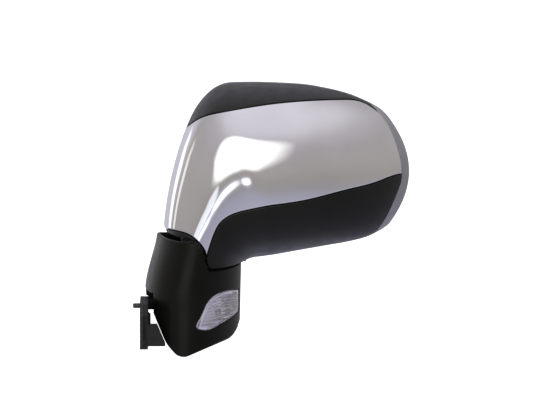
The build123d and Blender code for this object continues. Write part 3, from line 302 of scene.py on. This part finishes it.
class Shell:
    """The part of a form where a field is positive: outer face, rounded edge, wall, inner face."""

    def __init__(self, form, field, centre, rows, columns, radius=0.6, wall=3.0, sink=0.0,
                 ripple=None):
        self.form, self.field, self.centre = form, field, np.array(centre, float)
        self.radius, self.wall, self.sink = radius, wall, sink
        self.ripple = ripple
        self.side = 1.0
        u, v = np.meshgrid(np.linspace(0, 1, rows), np.linspace(0, 1, columns), indexing="ij")
        self.uv = np.stack([u.ravel(), v.ravel()], axis=1)
        points, normals = self.surface(self.uv)
        if ((points - self.centre) * normals).sum() < 0:
            self.side = -1.0
        self.depth = self.look(self.uv)[2]
        corner = (np.arange(rows - 1)[:, None] * columns + np.arange(columns - 1)).ravel()
        quads = np.stack([corner, corner + columns, corner + columns + 1, corner + 1], axis=1)
        quads = quads[self.depth[quads].max(axis=1) > 0]
        self.faces = quads.tolist()
        top = radius if np.isscalar(radius) else WIDEST_EDGE
        turns = [math.pi / 2 * k / EDGE_STEPS for k in range(EDGE_STEPS)]
        levels = [top * (1 - math.sin(turn)) for turn in turns] if top > 0 else []
        for level in [*levels, 0.0]:
            self.cut(level)
        self.faces = [f for f in self.faces if self.depth[f].sum() > 1e-6 and self.depth[f].min() > -1e-3]

    def surface(self, uv):
        """Points and outward normals of the form."""
        step = 1e-4
        low, high = np.clip(uv - step, 0, 1), np.clip(uv + step, 0, 1)
        du = self.form(np.stack([high[:, 0], uv[:, 1]], 1)) - self.form(np.stack([low[:, 0], uv[:, 1]], 1))
        dv = self.form(np.stack([uv[:, 0], high[:, 1]], 1)) - self.form(np.stack([uv[:, 0], low[:, 1]], 1))
        normals = np.cross(du, dv)
        normals /= np.maximum(np.linalg.norm(normals, axis=1, keepdims=True), 1e-12)
        return self.form(uv), normals * self.side

    def look(self, uv):
        """Points, normals, depth inside the edge along the surface, and the way inward."""
        points, normals = self.surface(uv)
        raw = self.field(points)
        step = 0.01
        slope = np.stack([self.field(points + step * axis) - raw for axis in np.eye(3)], axis=1) / step
        slope -= (slope * normals).sum(axis=1, keepdims=True) * normals
        steepness = np.maximum(np.linalg.norm(slope, axis=1), 0.25)
        return points, normals, raw / steepness, slope / steepness[:, None]

    def cut(self, level):
        """Divides the faces along the line where the depth is level."""
        side = self.depth - level
        side[np.abs(side) < 1e-4] = 0
        made, pairs, faces = {}, [], []
        base = len(self.uv)
        for face in self.faces:
            values = side[face]
            if values.min() >= 0 or values.max() <= 0:
                faces.append(face)
                continue
            near, far = [], []
            for k, i in enumerate(face):
                j = face[(k + 1) % len(face)]
                a, b = side[i], side[j]
                if a >= 0:
                    near.append(i)
                if a <= 0:
                    far.append(i)
                if a * b < 0:
                    key = (min(i, j), max(i, j))
                    if key not in made:
                        made[key] = base + len(pairs)
                        pairs.append(key)
                    near.append(made[key])
                    far.append(made[key])
            faces += [f for f in (near, far) if len(f) > 2]
        self.faces = faces
        if not pairs:
            return
        i, j = np.array(pairs).T
        low, high = self.uv[i].copy(), self.uv[j].copy()
        f_low, f_high = side[i].copy(), side[j].copy()
        for _ in range(4):
            share = (f_low / (f_low - f_high))[:, None]
            middle = low + (high - low) * share
            value = self.look(middle)[2] - level
            same = np.sign(value) == np.sign(f_low)
            low[same], f_low[same] = middle[same], value[same]
            high[~same], f_high[~same] = middle[~same], value[~same]
            f_high[f_high == f_low] += 1e-9
        self.uv = np.vstack([self.uv, middle])
        self.depth = np.concatenate([self.depth, np.full(len(middle), level)])

    def parts(self):
        """Vertices, faces and a normal for every face corner."""
        used = sorted({i for f in self.faces for i in f})
        index = {old: new for new, old in enumerate(used)}
        faces = [[index[i] for i in f] for f in self.faces]
        points, normals, _, inward = self.look(self.uv[used])
        depth = self.depth[used]
        radius = self.radius if np.isscalar(self.radius) else self.radius(points)
        lean = 1 - np.clip(depth / np.maximum(radius, 1e-6), 0, 1)
        level = np.sqrt(1 - lean**2)
        drop = (radius * (1 - level) + self.sink)[:, None]
        outer = points - normals * drop
        outer_normals = normals * level[:, None] - inward * lean[:, None]
        wall = np.full(len(points), self.wall + self.sink)
        if self.ripple is not None:
            wall = wall + self.ripple(points, depth)
        inner = points - normals * wall[:, None]
        inner[:, 1] = np.minimum(inner[:, 1], RIM_Y)
        outer[:, 1] = np.minimum(outer[:, 1], RIM_Y)
        first, second, third = points[faces[0][0]], points[faces[0][1]], points[faces[0][2]]
        if np.dot(np.cross(second - first, third - second), normals[faces[0][0]]) < 0:
            faces = [f[::-1] for f in faces]
        count = len(points)
        edges = {}
        for f in faces:
            for k in range(len(f)):
                edges[(f[k], f[(k + 1) % len(f)])] = True
        walls = [(b, a, a + count, b + count) for a, b in edges if (b, a) not in edges]
        every = faces + [[i + count for i in f[::-1]] for f in faces] + [list(w) for w in walls]
        corner_normals = [outer_normals[i] for f in faces for i in f]
        corner_normals += [-normals[i] for f in faces for i in f[::-1]]
        corner_normals += [-inward[i % count] for w in walls for i in w]
        if self.ripple is not None:
            corner_normals = None
        return np.vstack([outer, inner]), every, corner_normals


def build(name, shells, body, material, replaced):
    """One object from one or more shells."""
    vertices, faces, corners = [], [], []
    for shell in shells:
        points, its_faces, its_corners = shell.parts()
        base = sum(len(v) for v in vertices)
        vertices.append(points)
        faces += [[i + base for i in f] for f in its_faces]
        corners.append(its_corners)
    mesh = bpy.data.meshes.new(name)
    mesh.from_pydata((np.vstack(vertices) * MM).tolist(), [], faces)
    mesh.validate()
    mesh.update()
    mesh.shade_smooth()
    if all(c is not None for c in corners) and len(mesh.polygons) == len(faces):
        mesh.normals_split_custom_set([tuple(n) for c in corners for n in c])
    else:
        mesh.set_sharp_from_angle(angle=SHARP_ANGLE)
    piece = bpy.data.objects.new(name, mesh)
    bpy.context.scene.collection.objects.link(piece)
    mesh.materials.append(material)
    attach(piece, body)
    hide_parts(*replaced)
    return piece


# ---- materials -------------------------------------------------------------------------------
def nodes_of(name):
    material = bpy.data.materials.new(name)
    material.use_nodes = True
    tree = material.node_tree
    return material, tree, tree.nodes["Principled BSDF"]


def noise(tree, scale, detail=3.0, roughness=0.5):
    """A noise texture fixed to the part, in metres."""
    place = tree.nodes.new("ShaderNodeTexCoord")
    texture = tree.nodes.new("ShaderNodeTexNoise")
    texture.inputs["Scale"].default_value = scale
    texture.inputs["Detail"].default_value = detail
    texture.inputs["Roughness"].default_value = roughness
    tree.links.new(place.outputs["Object"], texture.inputs["Vector"])
    return texture.outputs["Fac"]


def ramp(tree, value, low, high, start=0.35, end=0.65):
    """Colours or grey levels from low to high as value goes from start to end."""
    node = tree.nodes.new("ShaderNodeValToRGB")
    node.color_ramp.elements[0].position = start
    node.color_ramp.elements[1].position = end
    node.color_ramp.elements[0].color = (*low, 1) if isinstance(low, tuple) else (low, low, low, 1)
    node.color_ramp.elements[1].color = (*high, 1) if isinstance(high, tuple) else (high, high, high, 1)
    tree.links.new(value, node.inputs["Fac"])
    return node.outputs["Color"]


def worn(tree, colour, edge, start=0.53, end=0.62):
    """The colour, rubbed towards another along sharp outer edges."""
    shape = tree.nodes.new("ShaderNodeNewGeometry")
    share = ramp(tree, shape.outputs["Pointiness"], 0.0, 1.0, start, end)
    mix = tree.nodes.new("ShaderNodeMix")
    mix.data_type = "RGBA"
    tree.links.new(share, mix.inputs["Factor"])
    tree.links.new(colour, mix.inputs["A"])
    mix.inputs["B"].default_value = (*edge, 1)
    return mix.outputs["Result"]


def bumped(tree, shader, height, strength, distance):
    bump = tree.nodes.new("ShaderNodeBump")
    bump.inputs["Strength"].default_value = strength
    bump.inputs["Distance"].default_value = distance
    tree.links.new(height, bump.inputs["Height"])
    tree.links.new(bump.outputs["Normal"], shader.inputs["Normal"])


def finish_of(name, low, high, rough, metallic=0.0, blotch=60.0, grain=2500.0, depth=0.0, edge=None,
              specular=0.5):
    """A moulded, cast or plated finish: blotchy colour, uneven gloss, fine relief and worn edges."""
    material, tree, shader = nodes_of(name)
    blotches = noise(tree, blotch)
    colour = ramp(tree, blotches, low, high)
    if edge:
        colour = worn(tree, colour, edge)
    tree.links.new(colour, shader.inputs["Base Color"])
    tree.links.new(ramp(tree, noise(tree, blotch * 3, 4), rough[0], rough[1]), shader.inputs["Roughness"])
    shader.inputs["Metallic"].default_value = metallic
    shader.inputs["Specular IOR Level"].default_value = specular
    if depth:
        bumped(tree, shader, noise(tree, grain, 2), 0.6, depth)
    return material


CHROME = finish_of("bright_chrome", (0.80, 0.79, 0.81), (0.86, 0.85, 0.86), (0.035, 0.075), metallic=1.0,
                   blotch=14.0, grain=40.0, depth=0.00002)
BLACK = finish_of("grained_black_plastic", (0.0052, 0.0054, 0.0038), (0.0072, 0.0074, 0.0054), (0.36, 0.44),
                  blotch=25.0, grain=2200.0, depth=0.0001, edge=(0.016, 0.016, 0.014), specular=0.24)
# The foot cover is the same black plastic as the housings. Its base colour is painted darker than theirs so
# that the foot reads darker: this is painted shade. Its lower gloss and specular are real finish settings.
FOOT_BLACK_SHADED = finish_of("smooth_black_plastic_painted_darker", (0.0038, 0.0040, 0.0032), (0.0052, 0.0054, 0.0044),
                       (0.30, 0.36), blotch=25.0, grain=2600.0, depth=0.00005,
                       edge=(0.010, 0.010, 0.010), specular=0.13)
SATIN_GREY = finish_of("satin_grey_plastic", (0.26, 0.26, 0.285), (0.31, 0.31, 0.335), (0.30, 0.40),
                       blotch=20.0, grain=3000.0, depth=0.00004, edge=(0.42, 0.42, 0.44))
BASE_BLACK = finish_of("ribbed_base_plastic", (0.0045, 0.0045, 0.005), (0.007, 0.007, 0.008), (0.45, 0.6),
                       grain=1600.0, depth=0.0001, edge=(0.016, 0.016, 0.016), specular=0.12)
COATED_CASTING = finish_of("black_coated_casting", (0.004, 0.004, 0.0042), (0.007, 0.007, 0.0072),
                           (0.42, 0.6), blotch=90.0, grain=900.0, depth=0.0002,
                           edge=(0.02, 0.02, 0.02), specular=0.12)
FOAM = finish_of("closed_cell_foam", (0.012, 0.012, 0.012), (0.03, 0.03, 0.03), (0.8, 0.95), blotch=400.0,
                 grain=1500.0, depth=0.0004)
RUBBER = finish_of("moulded_rubber", (0.012, 0.012, 0.013), (0.022, 0.022, 0.023), (0.55, 0.7), blotch=120.0,
                   grain=1800.0, depth=0.00012, edge=(0.045, 0.045, 0.045))
REFLECTOR = finish_of("metallised_reflector", (0.66, 0.64, 0.72), (0.74, 0.72, 0.80), (0.45, 0.6),
                      metallic=0.6, blotch=200.0, grain=700.0, depth=0.0002)
NYLON = finish_of("glass_filled_nylon", (0.016, 0.016, 0.018), (0.035, 0.035, 0.038), (0.42, 0.62),
                  blotch=700.0, grain=1400.0, depth=0.0001, edge=(0.07, 0.07, 0.075))
STEEL = finish_of("turned_steel", (0.46, 0.46, 0.45), (0.6, 0.6, 0.58), (0.22, 0.36), metallic=1.0,
                  blotch=150.0, grain=1200.0, depth=0.00006, edge=(0.78, 0.78, 0.76))
ZINC = finish_of("zinc_plated_screws", (0.5, 0.49, 0.43), (0.66, 0.66, 0.62), (0.25, 0.4), metallic=1.0,
                 blotch=300.0, grain=1500.0, depth=0.00006, edge=(0.8, 0.8, 0.78))
SPRING = finish_of("phosphated_spring_wire", (0.10, 0.10, 0.105), (0.17, 0.17, 0.175), (0.35, 0.5),
                   metallic=1.0, blotch=250.0, grain=2000.0, depth=0.00005, edge=(0.4, 0.4, 0.4))
MOTOR_CAN = finish_of("drawn_motor_can", (0.48, 0.48, 0.48), (0.58, 0.58, 0.58), (0.18, 0.3), metallic=1.0,
                      blotch=60.0, grain=1000.0, depth=0.00004, edge=(0.75, 0.75, 0.75))
NATURAL = finish_of("natural_acetal", (0.62, 0.61, 0.57), (0.72, 0.71, 0.67), (0.28, 0.4), blotch=80.0,
                    grain=1500.0, depth=0.00005, edge=(0.8, 0.79, 0.76))
HEATER = finish_of("printed_heater_film", (0.36, 0.20, 0.08), (0.48, 0.29, 0.13), (0.35, 0.5), blotch=220.0,
                   grain=900.0, depth=0.00005)
SILVERED = finish_of("silvered_glass", (0.80, 0.83, 0.85), (0.83, 0.86, 0.88), (0.0, 0.012), metallic=1.0,
                     blotch=10.0)


def clear_lens():
    """Clear moulded plastic, a little hazy, bent by its flutes."""
    material, tree, shader = nodes_of("clear_fluted_lens")
    tree.links.new(ramp(tree, noise(tree, 40.0), (0.86, 0.84, 0.93), (0.92, 0.90, 0.98)),
                   shader.inputs["Base Color"])
    tree.links.new(ramp(tree, noise(tree, 300.0), 0.03, 0.07), shader.inputs["Roughness"])
    shader.inputs["Transmission Weight"].default_value = 0.85
    shader.inputs["IOR"].default_value = 1.42
    return material


def smoked_bulb():
    """Coated glass that looks dark until it is lit."""
    material, tree, shader = nodes_of("smoked_coated_glass")
    tree.links.new(ramp(tree, noise(tree, 200.0), (0.05, 0.04, 0.035), (0.09, 0.07, 0.06)),
                   shader.inputs["Base Color"])
    tree.links.new(ramp(tree, noise(tree, 300.0), 0.05, 0.12), shader.inputs["Roughness"])
    shader.inputs["Coat Weight"].default_value = 0.6
    return material


LENS = clear_lens()
BULB = smoked_bulb()


# ---- the head's shells -----------------------------------------------------------------------
HEAD_MIDDLE = (150, 45, 140)
HEAD_ROWS, HEAD_COLS = 250, 180
GAP = 0.2                            # half of the joint between two panels
BEZEL_GAP = 0.45                     # between the housings and the bezel


def chrome_field(p):
    return np.minimum.reduce([chrome_zone(p), head_zone(p), -bezel_zone(p) - BEZEL_GAP])


def upper_field(p):
    return np.minimum.reduce([-chrome_zone(p) - 2 * GAP, over_split(p) - GAP, -bezel_zone(p) - BEZEL_GAP])


def lower_field(p):
    return np.minimum.reduce([-chrome_zone(p) - 2 * GAP, -over_split(p) - GAP,
                              -bezel_zone(p) - BEZEL_GAP, head_zone(p)])


def seat_field(side):
    """The recessed band under the chrome that belongs to one housing."""
    return lambda p: np.minimum.reduce([chrome_zone(p) + 2 * GAP, side * over_split(p) - GAP,
                                        -bezel_zone(p) - BEZEL_GAP, head_zone(p)])


def head_shell(field, **more):
    return Shell(head_form, field, HEAD_MIDDLE, HEAD_ROWS, HEAD_COLS, **more)


chrome_cover = build(
    "chrome_cover_skin", [head_shell(chrome_field, radius=2.2, wall=2.5)],
    "head", CHROME, ["chrome_cover"])

SEAT_DEPTH = 2.9
upper_housing = build(
    "upper_housing_skin", [head_shell(upper_field, radius=1.0, wall=5.0),
                           head_shell(seat_field(1), radius=0, wall=2.1, sink=SEAT_DEPTH)],
    "head", BLACK, ["upper_housing"])


NECK_X = 105.9                       # outer side of the neck of the lower housing


def slab(corner, along, across, middle, wall):
    """A plain plate, its outer face turned away from a middle point."""
    return Shell(flat_form(corner, along, across), lambda p: np.ones(len(p)), middle, 12, 12,
                 radius=0, wall=wall)


def neck_field(p):
    return np.minimum(inside(STEP_LOOP, p[:, [0, 2]]), NECK_X - p[:, 0])


neck_wall = Shell(flat_form((45, 38, 54), (61, 0, 0), (0, 0, 37)), neck_field, (75, 0, 75), 60, 40,
                  radius=0.5, wall=2.5)
neck_side = slab((NECK_X, 35.5, 56), (0, 19.9, 0), (0, 0, 35), (75, 45, 75), 2.4)
housing_sill = slab((26, 33, SEAM_Z), (72, 0, 0), (0, 8.4, 0), (60, 40, 120), 2.4)
bezel_sill = slab((29, 42, SEAM_Z), (70, 0, 0), (0, 18, 0), (60, 50, 120), 2.5)
lower_housing = build(
    "lower_housing_skin", [head_shell(lower_field, radius=1.0, wall=5.0),
                           head_shell(seat_field(-1), radius=0, wall=2.1, sink=SEAT_DEPTH),
                           neck_wall, neck_side, housing_sill],
    "head", BLACK, ["lower_housing"])

# ---- bezel: the skin behind the housings, and the back plate round the glass -----------------
RIM_R = 3.0


def bezel_field(p):
    corner = np.maximum(p[:, 0] - SEAM_X, p[:, 2] - SEAM_Z)
    return np.minimum.reduce([bezel_zone(p), RIM_Y - p[:, 1], corner])


def bezel_radius(p):
    """Rounder at the rear rim than where it meets the housings."""
    return np.where(p[:, 1] > RIM_Y - 4, RIM_R, 1.0)


side_a = head_form(np.stack([np.linspace(0, 1, 240), np.zeros(240)], axis=1))
side_b = head_form(np.stack([np.linspace(1, 0, 240), np.ones(240)], axis=1))
side_end = head_form(np.stack([np.ones(80), np.linspace(0, 1, 80)], axis=1))
RIM_LOOP = np.vstack([side_a, side_end[1:-1], side_b])[:, [0, 2]]
OPENING = 5.0                        # from the edge of the glass to the edge of the opening


def plate_field(p):
    xz = p[:, [0, 2]]
    corner = np.maximum(p[:, 0] - SEAM_X, p[:, 2] - SEAM_Z)
    return np.minimum.reduce([inside(RIM_LOOP, xz) - RIM_R + 0.05,
                              -inside(GLASS_LOOP, xz) - OPENING, corner])


def plate_radius(p):
    at_opening = -inside(GLASS_LOOP, p[:, [0, 2]]) - OPENING < 3.0
    return np.where(at_opening, 2.5, 1e-3)


back_plate = Shell(flat_form((10, RIM_Y, 55), (270, 0, 0), (0, 0, 195)), plate_field,
                   (150, 0, 150), 200, 150, radius=plate_radius, wall=4.5)
bezel = build(
    "bezel_frame", [head_shell(bezel_field, radius=bezel_radius, wall=5.0), back_plate, bezel_sill],
    "head", SATIN_GREY, ["bezel"])


# ---- the foot's shells -----------------------------------------------------------------------
FOOT_MIDDLE = (55, 20, 20)
FOOT_EDGE_R = 1.6                    # rounding of the cover's edges
COVER_WALL = 3.0
REAR_WALL_X = 40.6                   # where the wall behind the collar ends
STEP_LOOP_FOOT = np.vstack([spline([(x - 1.2, z - 1.2) for x, z in STEP_LINE[1:]]),
                            [(140, DECK_Z), (140, -60), (-30, -60), (-30, COLLAR_Z), (46, COLLAR_Z)]])


def outside_box(p, low, high):
    """Distance outside an upright box, positive outside it."""
    low, high = np.array(low, float), np.array(high, float)
    return np.maximum(low - p, p - high).max(axis=1)


def collar_cut(p):
    return outside_box(p, (40, 20, DECK_Z), (200, 60, 120))


def door_side(p):
    return outside_box(p, (-20, -36.5, -23), (13, 36.5, 29))


def cover_field(p):
    return np.minimum.reduce([inside(FOOT_LOOP, styling(p)), inside(STEP_LOOP_FOOT, p[:, [0, 2]]),
                              FOOT_BACK_Y - p[:, 1], collar_cut(p), door_side(p), -lens_zone(p, 1.02)])


def rear_field(p):
    edge = foot_zone(p) - FOOT_EDGE_R
    outline = inside(FOOT_LOOP, styling(p)) - FOOT_EDGE_R
    low_or_left = np.maximum(DECK_Z - p[:, 2] - FOOT_EDGE_R, REAR_WALL_X - p[:, 0])
    return np.minimum.reduce([edge, outline, inside(STEP_LOOP_FOOT, p[:, [0, 2]]), low_or_left,
                              door_side(p)])


def deck_field(p):
    hole = np.hypot(p[:, 0] - FOLD[0], p[:, 1] - FOLD[1]) - 17.5
    return np.minimum.reduce([foot_zone(p) - FOOT_EDGE_R, FOOT_BACK_Y - FOOT_EDGE_R - p[:, 1], hole])


UNDER_LINE = FOOT_LOOP[(FOOT_LOOP[:, 0] > 3) & (FOOT_LOOP[:, 0] < 101.5) & (FOOT_LOOP[:, 1] < 30)]
UNDER_REACH = np.concatenate([[0], np.cumsum(np.linalg.norm(np.diff(UNDER_LINE, axis=0), axis=1))])
UNDER_REACH /= UNDER_REACH[-1]


def under_form(uv):
    """The sides that close the foot below, ruled along the styling view."""
    a = np.interp(uv[:, 0], UNDER_REACH, UNDER_LINE[:, 0])
    b = np.interp(uv[:, 0], UNDER_REACH, UNDER_LINE[:, 1])
    y = -48.0 + uv[:, 1] * (FOOT_BACK_Y + 48.0)
    return np.stack([a, y, (b - y * math.sin(TIP)) / math.cos(TIP)], axis=1)


def under_field(p):
    return np.minimum.reduce([foot_zone(p) - FOOT_EDGE_R + 0.1,
                              FOOT_BACK_Y - FOOT_EDGE_R - p[:, 1], door_side(p)])


# The cover takes the black plastic with its colour painted darker, a painted shade.
foot_cover = build(
    "foot_cover_skin",
    [Shell(foot_form, cover_field, FOOT_MIDDLE, 120, 150, radius=FOOT_EDGE_R, wall=COVER_WALL),
     Shell(flat_form((0, FOOT_BACK_Y, -50), (110, 0, 0), (0, 0, 140)), rear_field, (55, 0, 20), 70, 90,
           radius=0, wall=COVER_WALL),
     Shell(flat_form((0, -50, DECK_Z), (110, 0, 0), (0, 90, 0)), deck_field, (55, 0, 0), 70, 60,
           radius=0, wall=COVER_WALL),
     Shell(under_form, under_field, (55, 0, 40), 140, 60, radius=0, wall=COVER_WALL)],
    "foot", FOOT_BLACK_SHADED, ["foot_cover"])

FLUTE_PITCH, FLUTE_DEPTH = 3.0, 0.30


def flutes(p, depth):
    """Flutes on the inner face of the lens, inside a plain border."""
    ab = styling(p)
    wave = np.cos(2 * np.pi * (ab[:, 1] - 0.22 * ab[:, 0]) / FLUTE_PITCH)
    return FLUTE_DEPTH * wave * np.clip((depth - 2.6) / 0.6, 0, 1)


indicator_lens = build(
    "indicator_lens_clear",
    [Shell(window(foot_form, 0.2, 0.56, 0.5, 0.98), lens_zone, FOOT_MIDDLE, 120, 170, radius=0.9, wall=2.4,
           ripple=flutes)],
    "foot", LENS, ["indicator_lens"])

# ---- CAD nodes that stay, with their materials -----------------------------------------------
CAD_FINISHES = {
    COATED_CASTING: ["base_bracket"],
    ZINC: ["cover_screws", "shaft_screws", "fold_case_screws", "carrier_screws", "housing_screws",
           "actuator_screws"],
    FOAM: ["door_gasket"],
    RUBBER: ["cable_grommet"],
    BASE_BLACK: ["base_tray"],
    NYLON: ["locating_peg", "fold_case", "fold_case_lid", "head_carrier", "actuator_case",
            "actuator_cover", "glass_backing"],
    REFLECTOR: ["indicator_housing"],
    BULB: ["indicator_bulb"],
    STEEL: ["pivot_shaft", "detent_ring", "fold_gear", "thrust_washer", "spring_retainer", "pivot_cross",
            "fold_pinion"],
    SPRING: ["fold_spring"],
    MOTOR_CAN: ["fold_motor", "tilt_motor", "pan_motor"],
    NATURAL: ["bulb_holder", "tilt_plunger", "pan_plunger"],
    HEATER: ["heater_pad"],
    SILVERED: ["mirror_glass"],
}
for material, names in CAD_FINISHES.items():
    for name in names:
        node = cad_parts[name]
        for slot in node.material_slots:
            slot.material = material

# ---- floor, light and camera -----------------------------------------------------------------
# metres in the stage, the light and the camera
FLOOR_DROP = 0.12                    # the mirror is held above the floor
FLOOR_REACH = 30.0                   # from the middle to each side


def pale_floor():
    material, tree, shader = nodes_of("pale_floor")
    tree.links.new(ramp(tree, noise(tree, 1.5), (0.93, 0.93, 0.93), (0.95, 0.95, 0.95)),
                   shader.inputs["Base Color"])
    shader.inputs["Roughness"].default_value = 0.9
    shader.inputs["Emission Color"].default_value = (1, 1, 1, 1)
    shader.inputs["Emission Strength"].default_value = 0.62
    half = FLOOR_REACH
    level = CAD_LOW.z - FLOOR_DROP
    mesh = bpy.data.meshes.new("pale_floor")
    corners = [(-half, -half, level), (half, -half, level), (half, half, level), (-half, half, level)]
    mesh.from_pydata(corners, [], [(0, 1, 2, 3)])
    floor = bpy.data.objects.new("pale_floor", mesh)
    mesh.materials.append(material)
    bpy.context.scene.collection.objects.link(floor)
    floor.visible_glossy = False
    floor.visible_diffuse = False


def facing(azimuth, elevation):
    """The way from the object to something seen in its polish."""
    a, e = math.radians(azimuth), math.radians(elevation)
    return Vector((math.sin(a) * math.cos(e), -math.cos(a) * math.cos(e), math.sin(e)))


def add_node(tree, kind, operation, *values):
    """A maths node fed by sockets or numbers."""
    node = tree.nodes.new(kind)
    node.operation = operation
    for socket, value in zip(node.inputs, values):
        if isinstance(value, bpy.types.NodeSocket):
            tree.links.new(value, socket)
        else:
            socket.default_value = value
    return node.outputs["Value"]


def glow(tree, direction, azimuth, elevation, half_width, half_height, tilt, strength, colour,
         soft):
    """A soft bright window in the studio: its light, as a colour socket."""
    away = facing(azimuth, elevation)
    side = Vector((0, 0, 1)).cross(away).normalized()
    up = away.cross(side)
    t = math.radians(tilt)
    along, across = side * math.cos(t) + up * math.sin(t), up * math.cos(t) - side * math.sin(t)
    terms = []
    for axis, half in ((along, half_width), (across, half_height)):
        dot = add_node(tree, "ShaderNodeVectorMath", "DOT_PRODUCT", direction, axis)
        share = add_node(tree, "ShaderNodeMath", "MULTIPLY", dot, 1 / math.sin(math.radians(half)))
        square = add_node(tree, "ShaderNodeMath", "MULTIPLY", share, share)
        terms.append(add_node(tree, "ShaderNodeMath", "POWER", square, 1.4))
    reach = add_node(tree, "ShaderNodeMath", "ADD", *terms)
    fade = tree.nodes.new("ShaderNodeMapRange")
    fade.interpolation_type = "SMOOTHSTEP"
    fade.inputs["From Min"].default_value = 1 + soft
    fade.inputs["From Max"].default_value = 1 - soft
    tree.links.new(reach, fade.inputs["Value"])
    facing_it = add_node(tree, "ShaderNodeVectorMath", "DOT_PRODUCT", direction, away)
    ahead = add_node(tree, "ShaderNodeMath", "GREATER_THAN", facing_it, 0.0)
    level = add_node(tree, "ShaderNodeMath", "MULTIPLY", fade.outputs["Result"], ahead)
    light = tree.nodes.new("ShaderNodeVectorMath")
    light.operation = "SCALE"
    light.inputs[0].default_value = [strength * c for c in colour]
    tree.links.new(level, light.inputs["Scale"])
    return light.outputs["Vector"]


# azimuth, elevation, half width, half height, tilt, strength, colour and softness of each window
GLOWS = [
    (-20, 26, 36, 21, 8, 2.2, (1, 1, 0.99), 0.75),
    (-24, -13, 13, 4, 22, 1.1, (1, 1, 1.05), 0.8),
    (-44, -10, 9, 6, 20, 0.8, (0.85, 0.92, 1.0), 0.8),
    (-32, -16, 22, 7, 20, 0.22, (0.7, 0.75, 1.1), 0.9),
    (-168, 0, 22, 60, 0, 0.26, (0.80, 0.82, 1.15), 0.8),
    (-152, -2, 4, 5, 0, 0.8, (1, 1, 1), 0.9),
    (-137, 0, 3, 7, 0, 0.6, (1, 1, 1), 0.9),
    (0, 88, 40, 40, 0, 0.16, (0.95, 0.95, 1.0), 0.9),
]
# what is seen in the studio at each height, from straight down at 0 to straight up at 1
STUDIO_WALLS = [
    (0.0, (0.50, 0.50, 0.60)), (0.28, (0.40, 0.40, 0.50)), (0.36, (0.36, 0.35, 0.37)),
    (0.44, (0.37, 0.355, 0.34)), (0.52, (0.42, 0.40, 0.39)),
    (0.68, (0.43, 0.41, 0.42)), (1.0, (0.60, 0.58, 0.64)),
]


def studio():
    """A grey studio with soft windows, seen in reflections, and white behind the object."""
    world = bpy.data.worlds.new("studio")
    bpy.context.scene.world = world
    world.use_nodes = True
    tree = world.node_tree
    tree.nodes.clear()
    direction = tree.nodes.new("ShaderNodeTexCoord").outputs["Generated"]
    split = tree.nodes.new("ShaderNodeSeparateXYZ")
    tree.links.new(direction, split.inputs["Vector"])
    height = tree.nodes.new("ShaderNodeMapRange")
    height.inputs["From Min"].default_value = -1.0
    tree.links.new(split.outputs["Z"], height.inputs["Value"])
    walls = tree.nodes.new("ShaderNodeValToRGB")
    for _ in STUDIO_WALLS[2:]:
        walls.color_ramp.elements.new(0.5)
    for element, (position, colour) in zip(walls.color_ramp.elements, STUDIO_WALLS):
        element.position = position
        element.color = (*colour, 1)
    tree.links.new(height.outputs["Result"], walls.inputs["Fac"])
    total = walls.outputs["Color"]
    for window_light in GLOWS:
        light = glow(tree, direction, *window_light)
        add = tree.nodes.new("ShaderNodeVectorMath")
        tree.links.new(total, add.inputs[0])
        tree.links.new(light, add.inputs[1])
        total = add.outputs["Vector"]
    around = tree.nodes.new("ShaderNodeBackground")
    tree.links.new(total, around.inputs["Color"])
    behind = tree.nodes.new("ShaderNodeBackground")
    behind.inputs["Color"].default_value = (1, 1, 1, 1)
    path = tree.nodes.new("ShaderNodeLightPath")
    either = tree.nodes.new("ShaderNodeMixShader")
    tree.links.new(path.outputs["Is Camera Ray"], either.inputs["Fac"])
    tree.links.new(around.outputs["Background"], either.inputs[1])
    tree.links.new(behind.outputs["Background"], either.inputs[2])
    out = tree.nodes.new("ShaderNodeOutputWorld")
    tree.links.new(either.outputs["Shader"], out.inputs["Surface"])


pale_floor()
studio()
bpy.context.scene.view_settings.view_transform = "Standard"

CAMERA_DISTANCE = 12.0
FRAME_WIDTH = 0.551                  # what the picture takes in, at the object
AIM = Vector((0.0037, -0.0053, 0.0181))     # from the middle of the CAD box
camera = bpy.data.cameras.new("camera")
camera.sensor_width = 36.0
camera.lens = camera.sensor_width * CAMERA_DISTANCE / FRAME_WIDTH
camera.clip_start, camera.clip_end = 0.1, 200.0
viewer = bpy.data.objects.new("camera", camera)
bpy.context.scene.collection.objects.link(viewer)
back = Vector((0.0, -math.cos(TIP), math.sin(TIP)))
viewer.location = (CAD_LOW + CAD_HIGH) / 2 + AIM + back * CAMERA_DISTANCE
viewer.rotation_mode = "QUATERNION"
viewer.rotation_quaternion = (-back).to_track_quat("-Z", "Y")
bpy.context.scene.camera = viewer
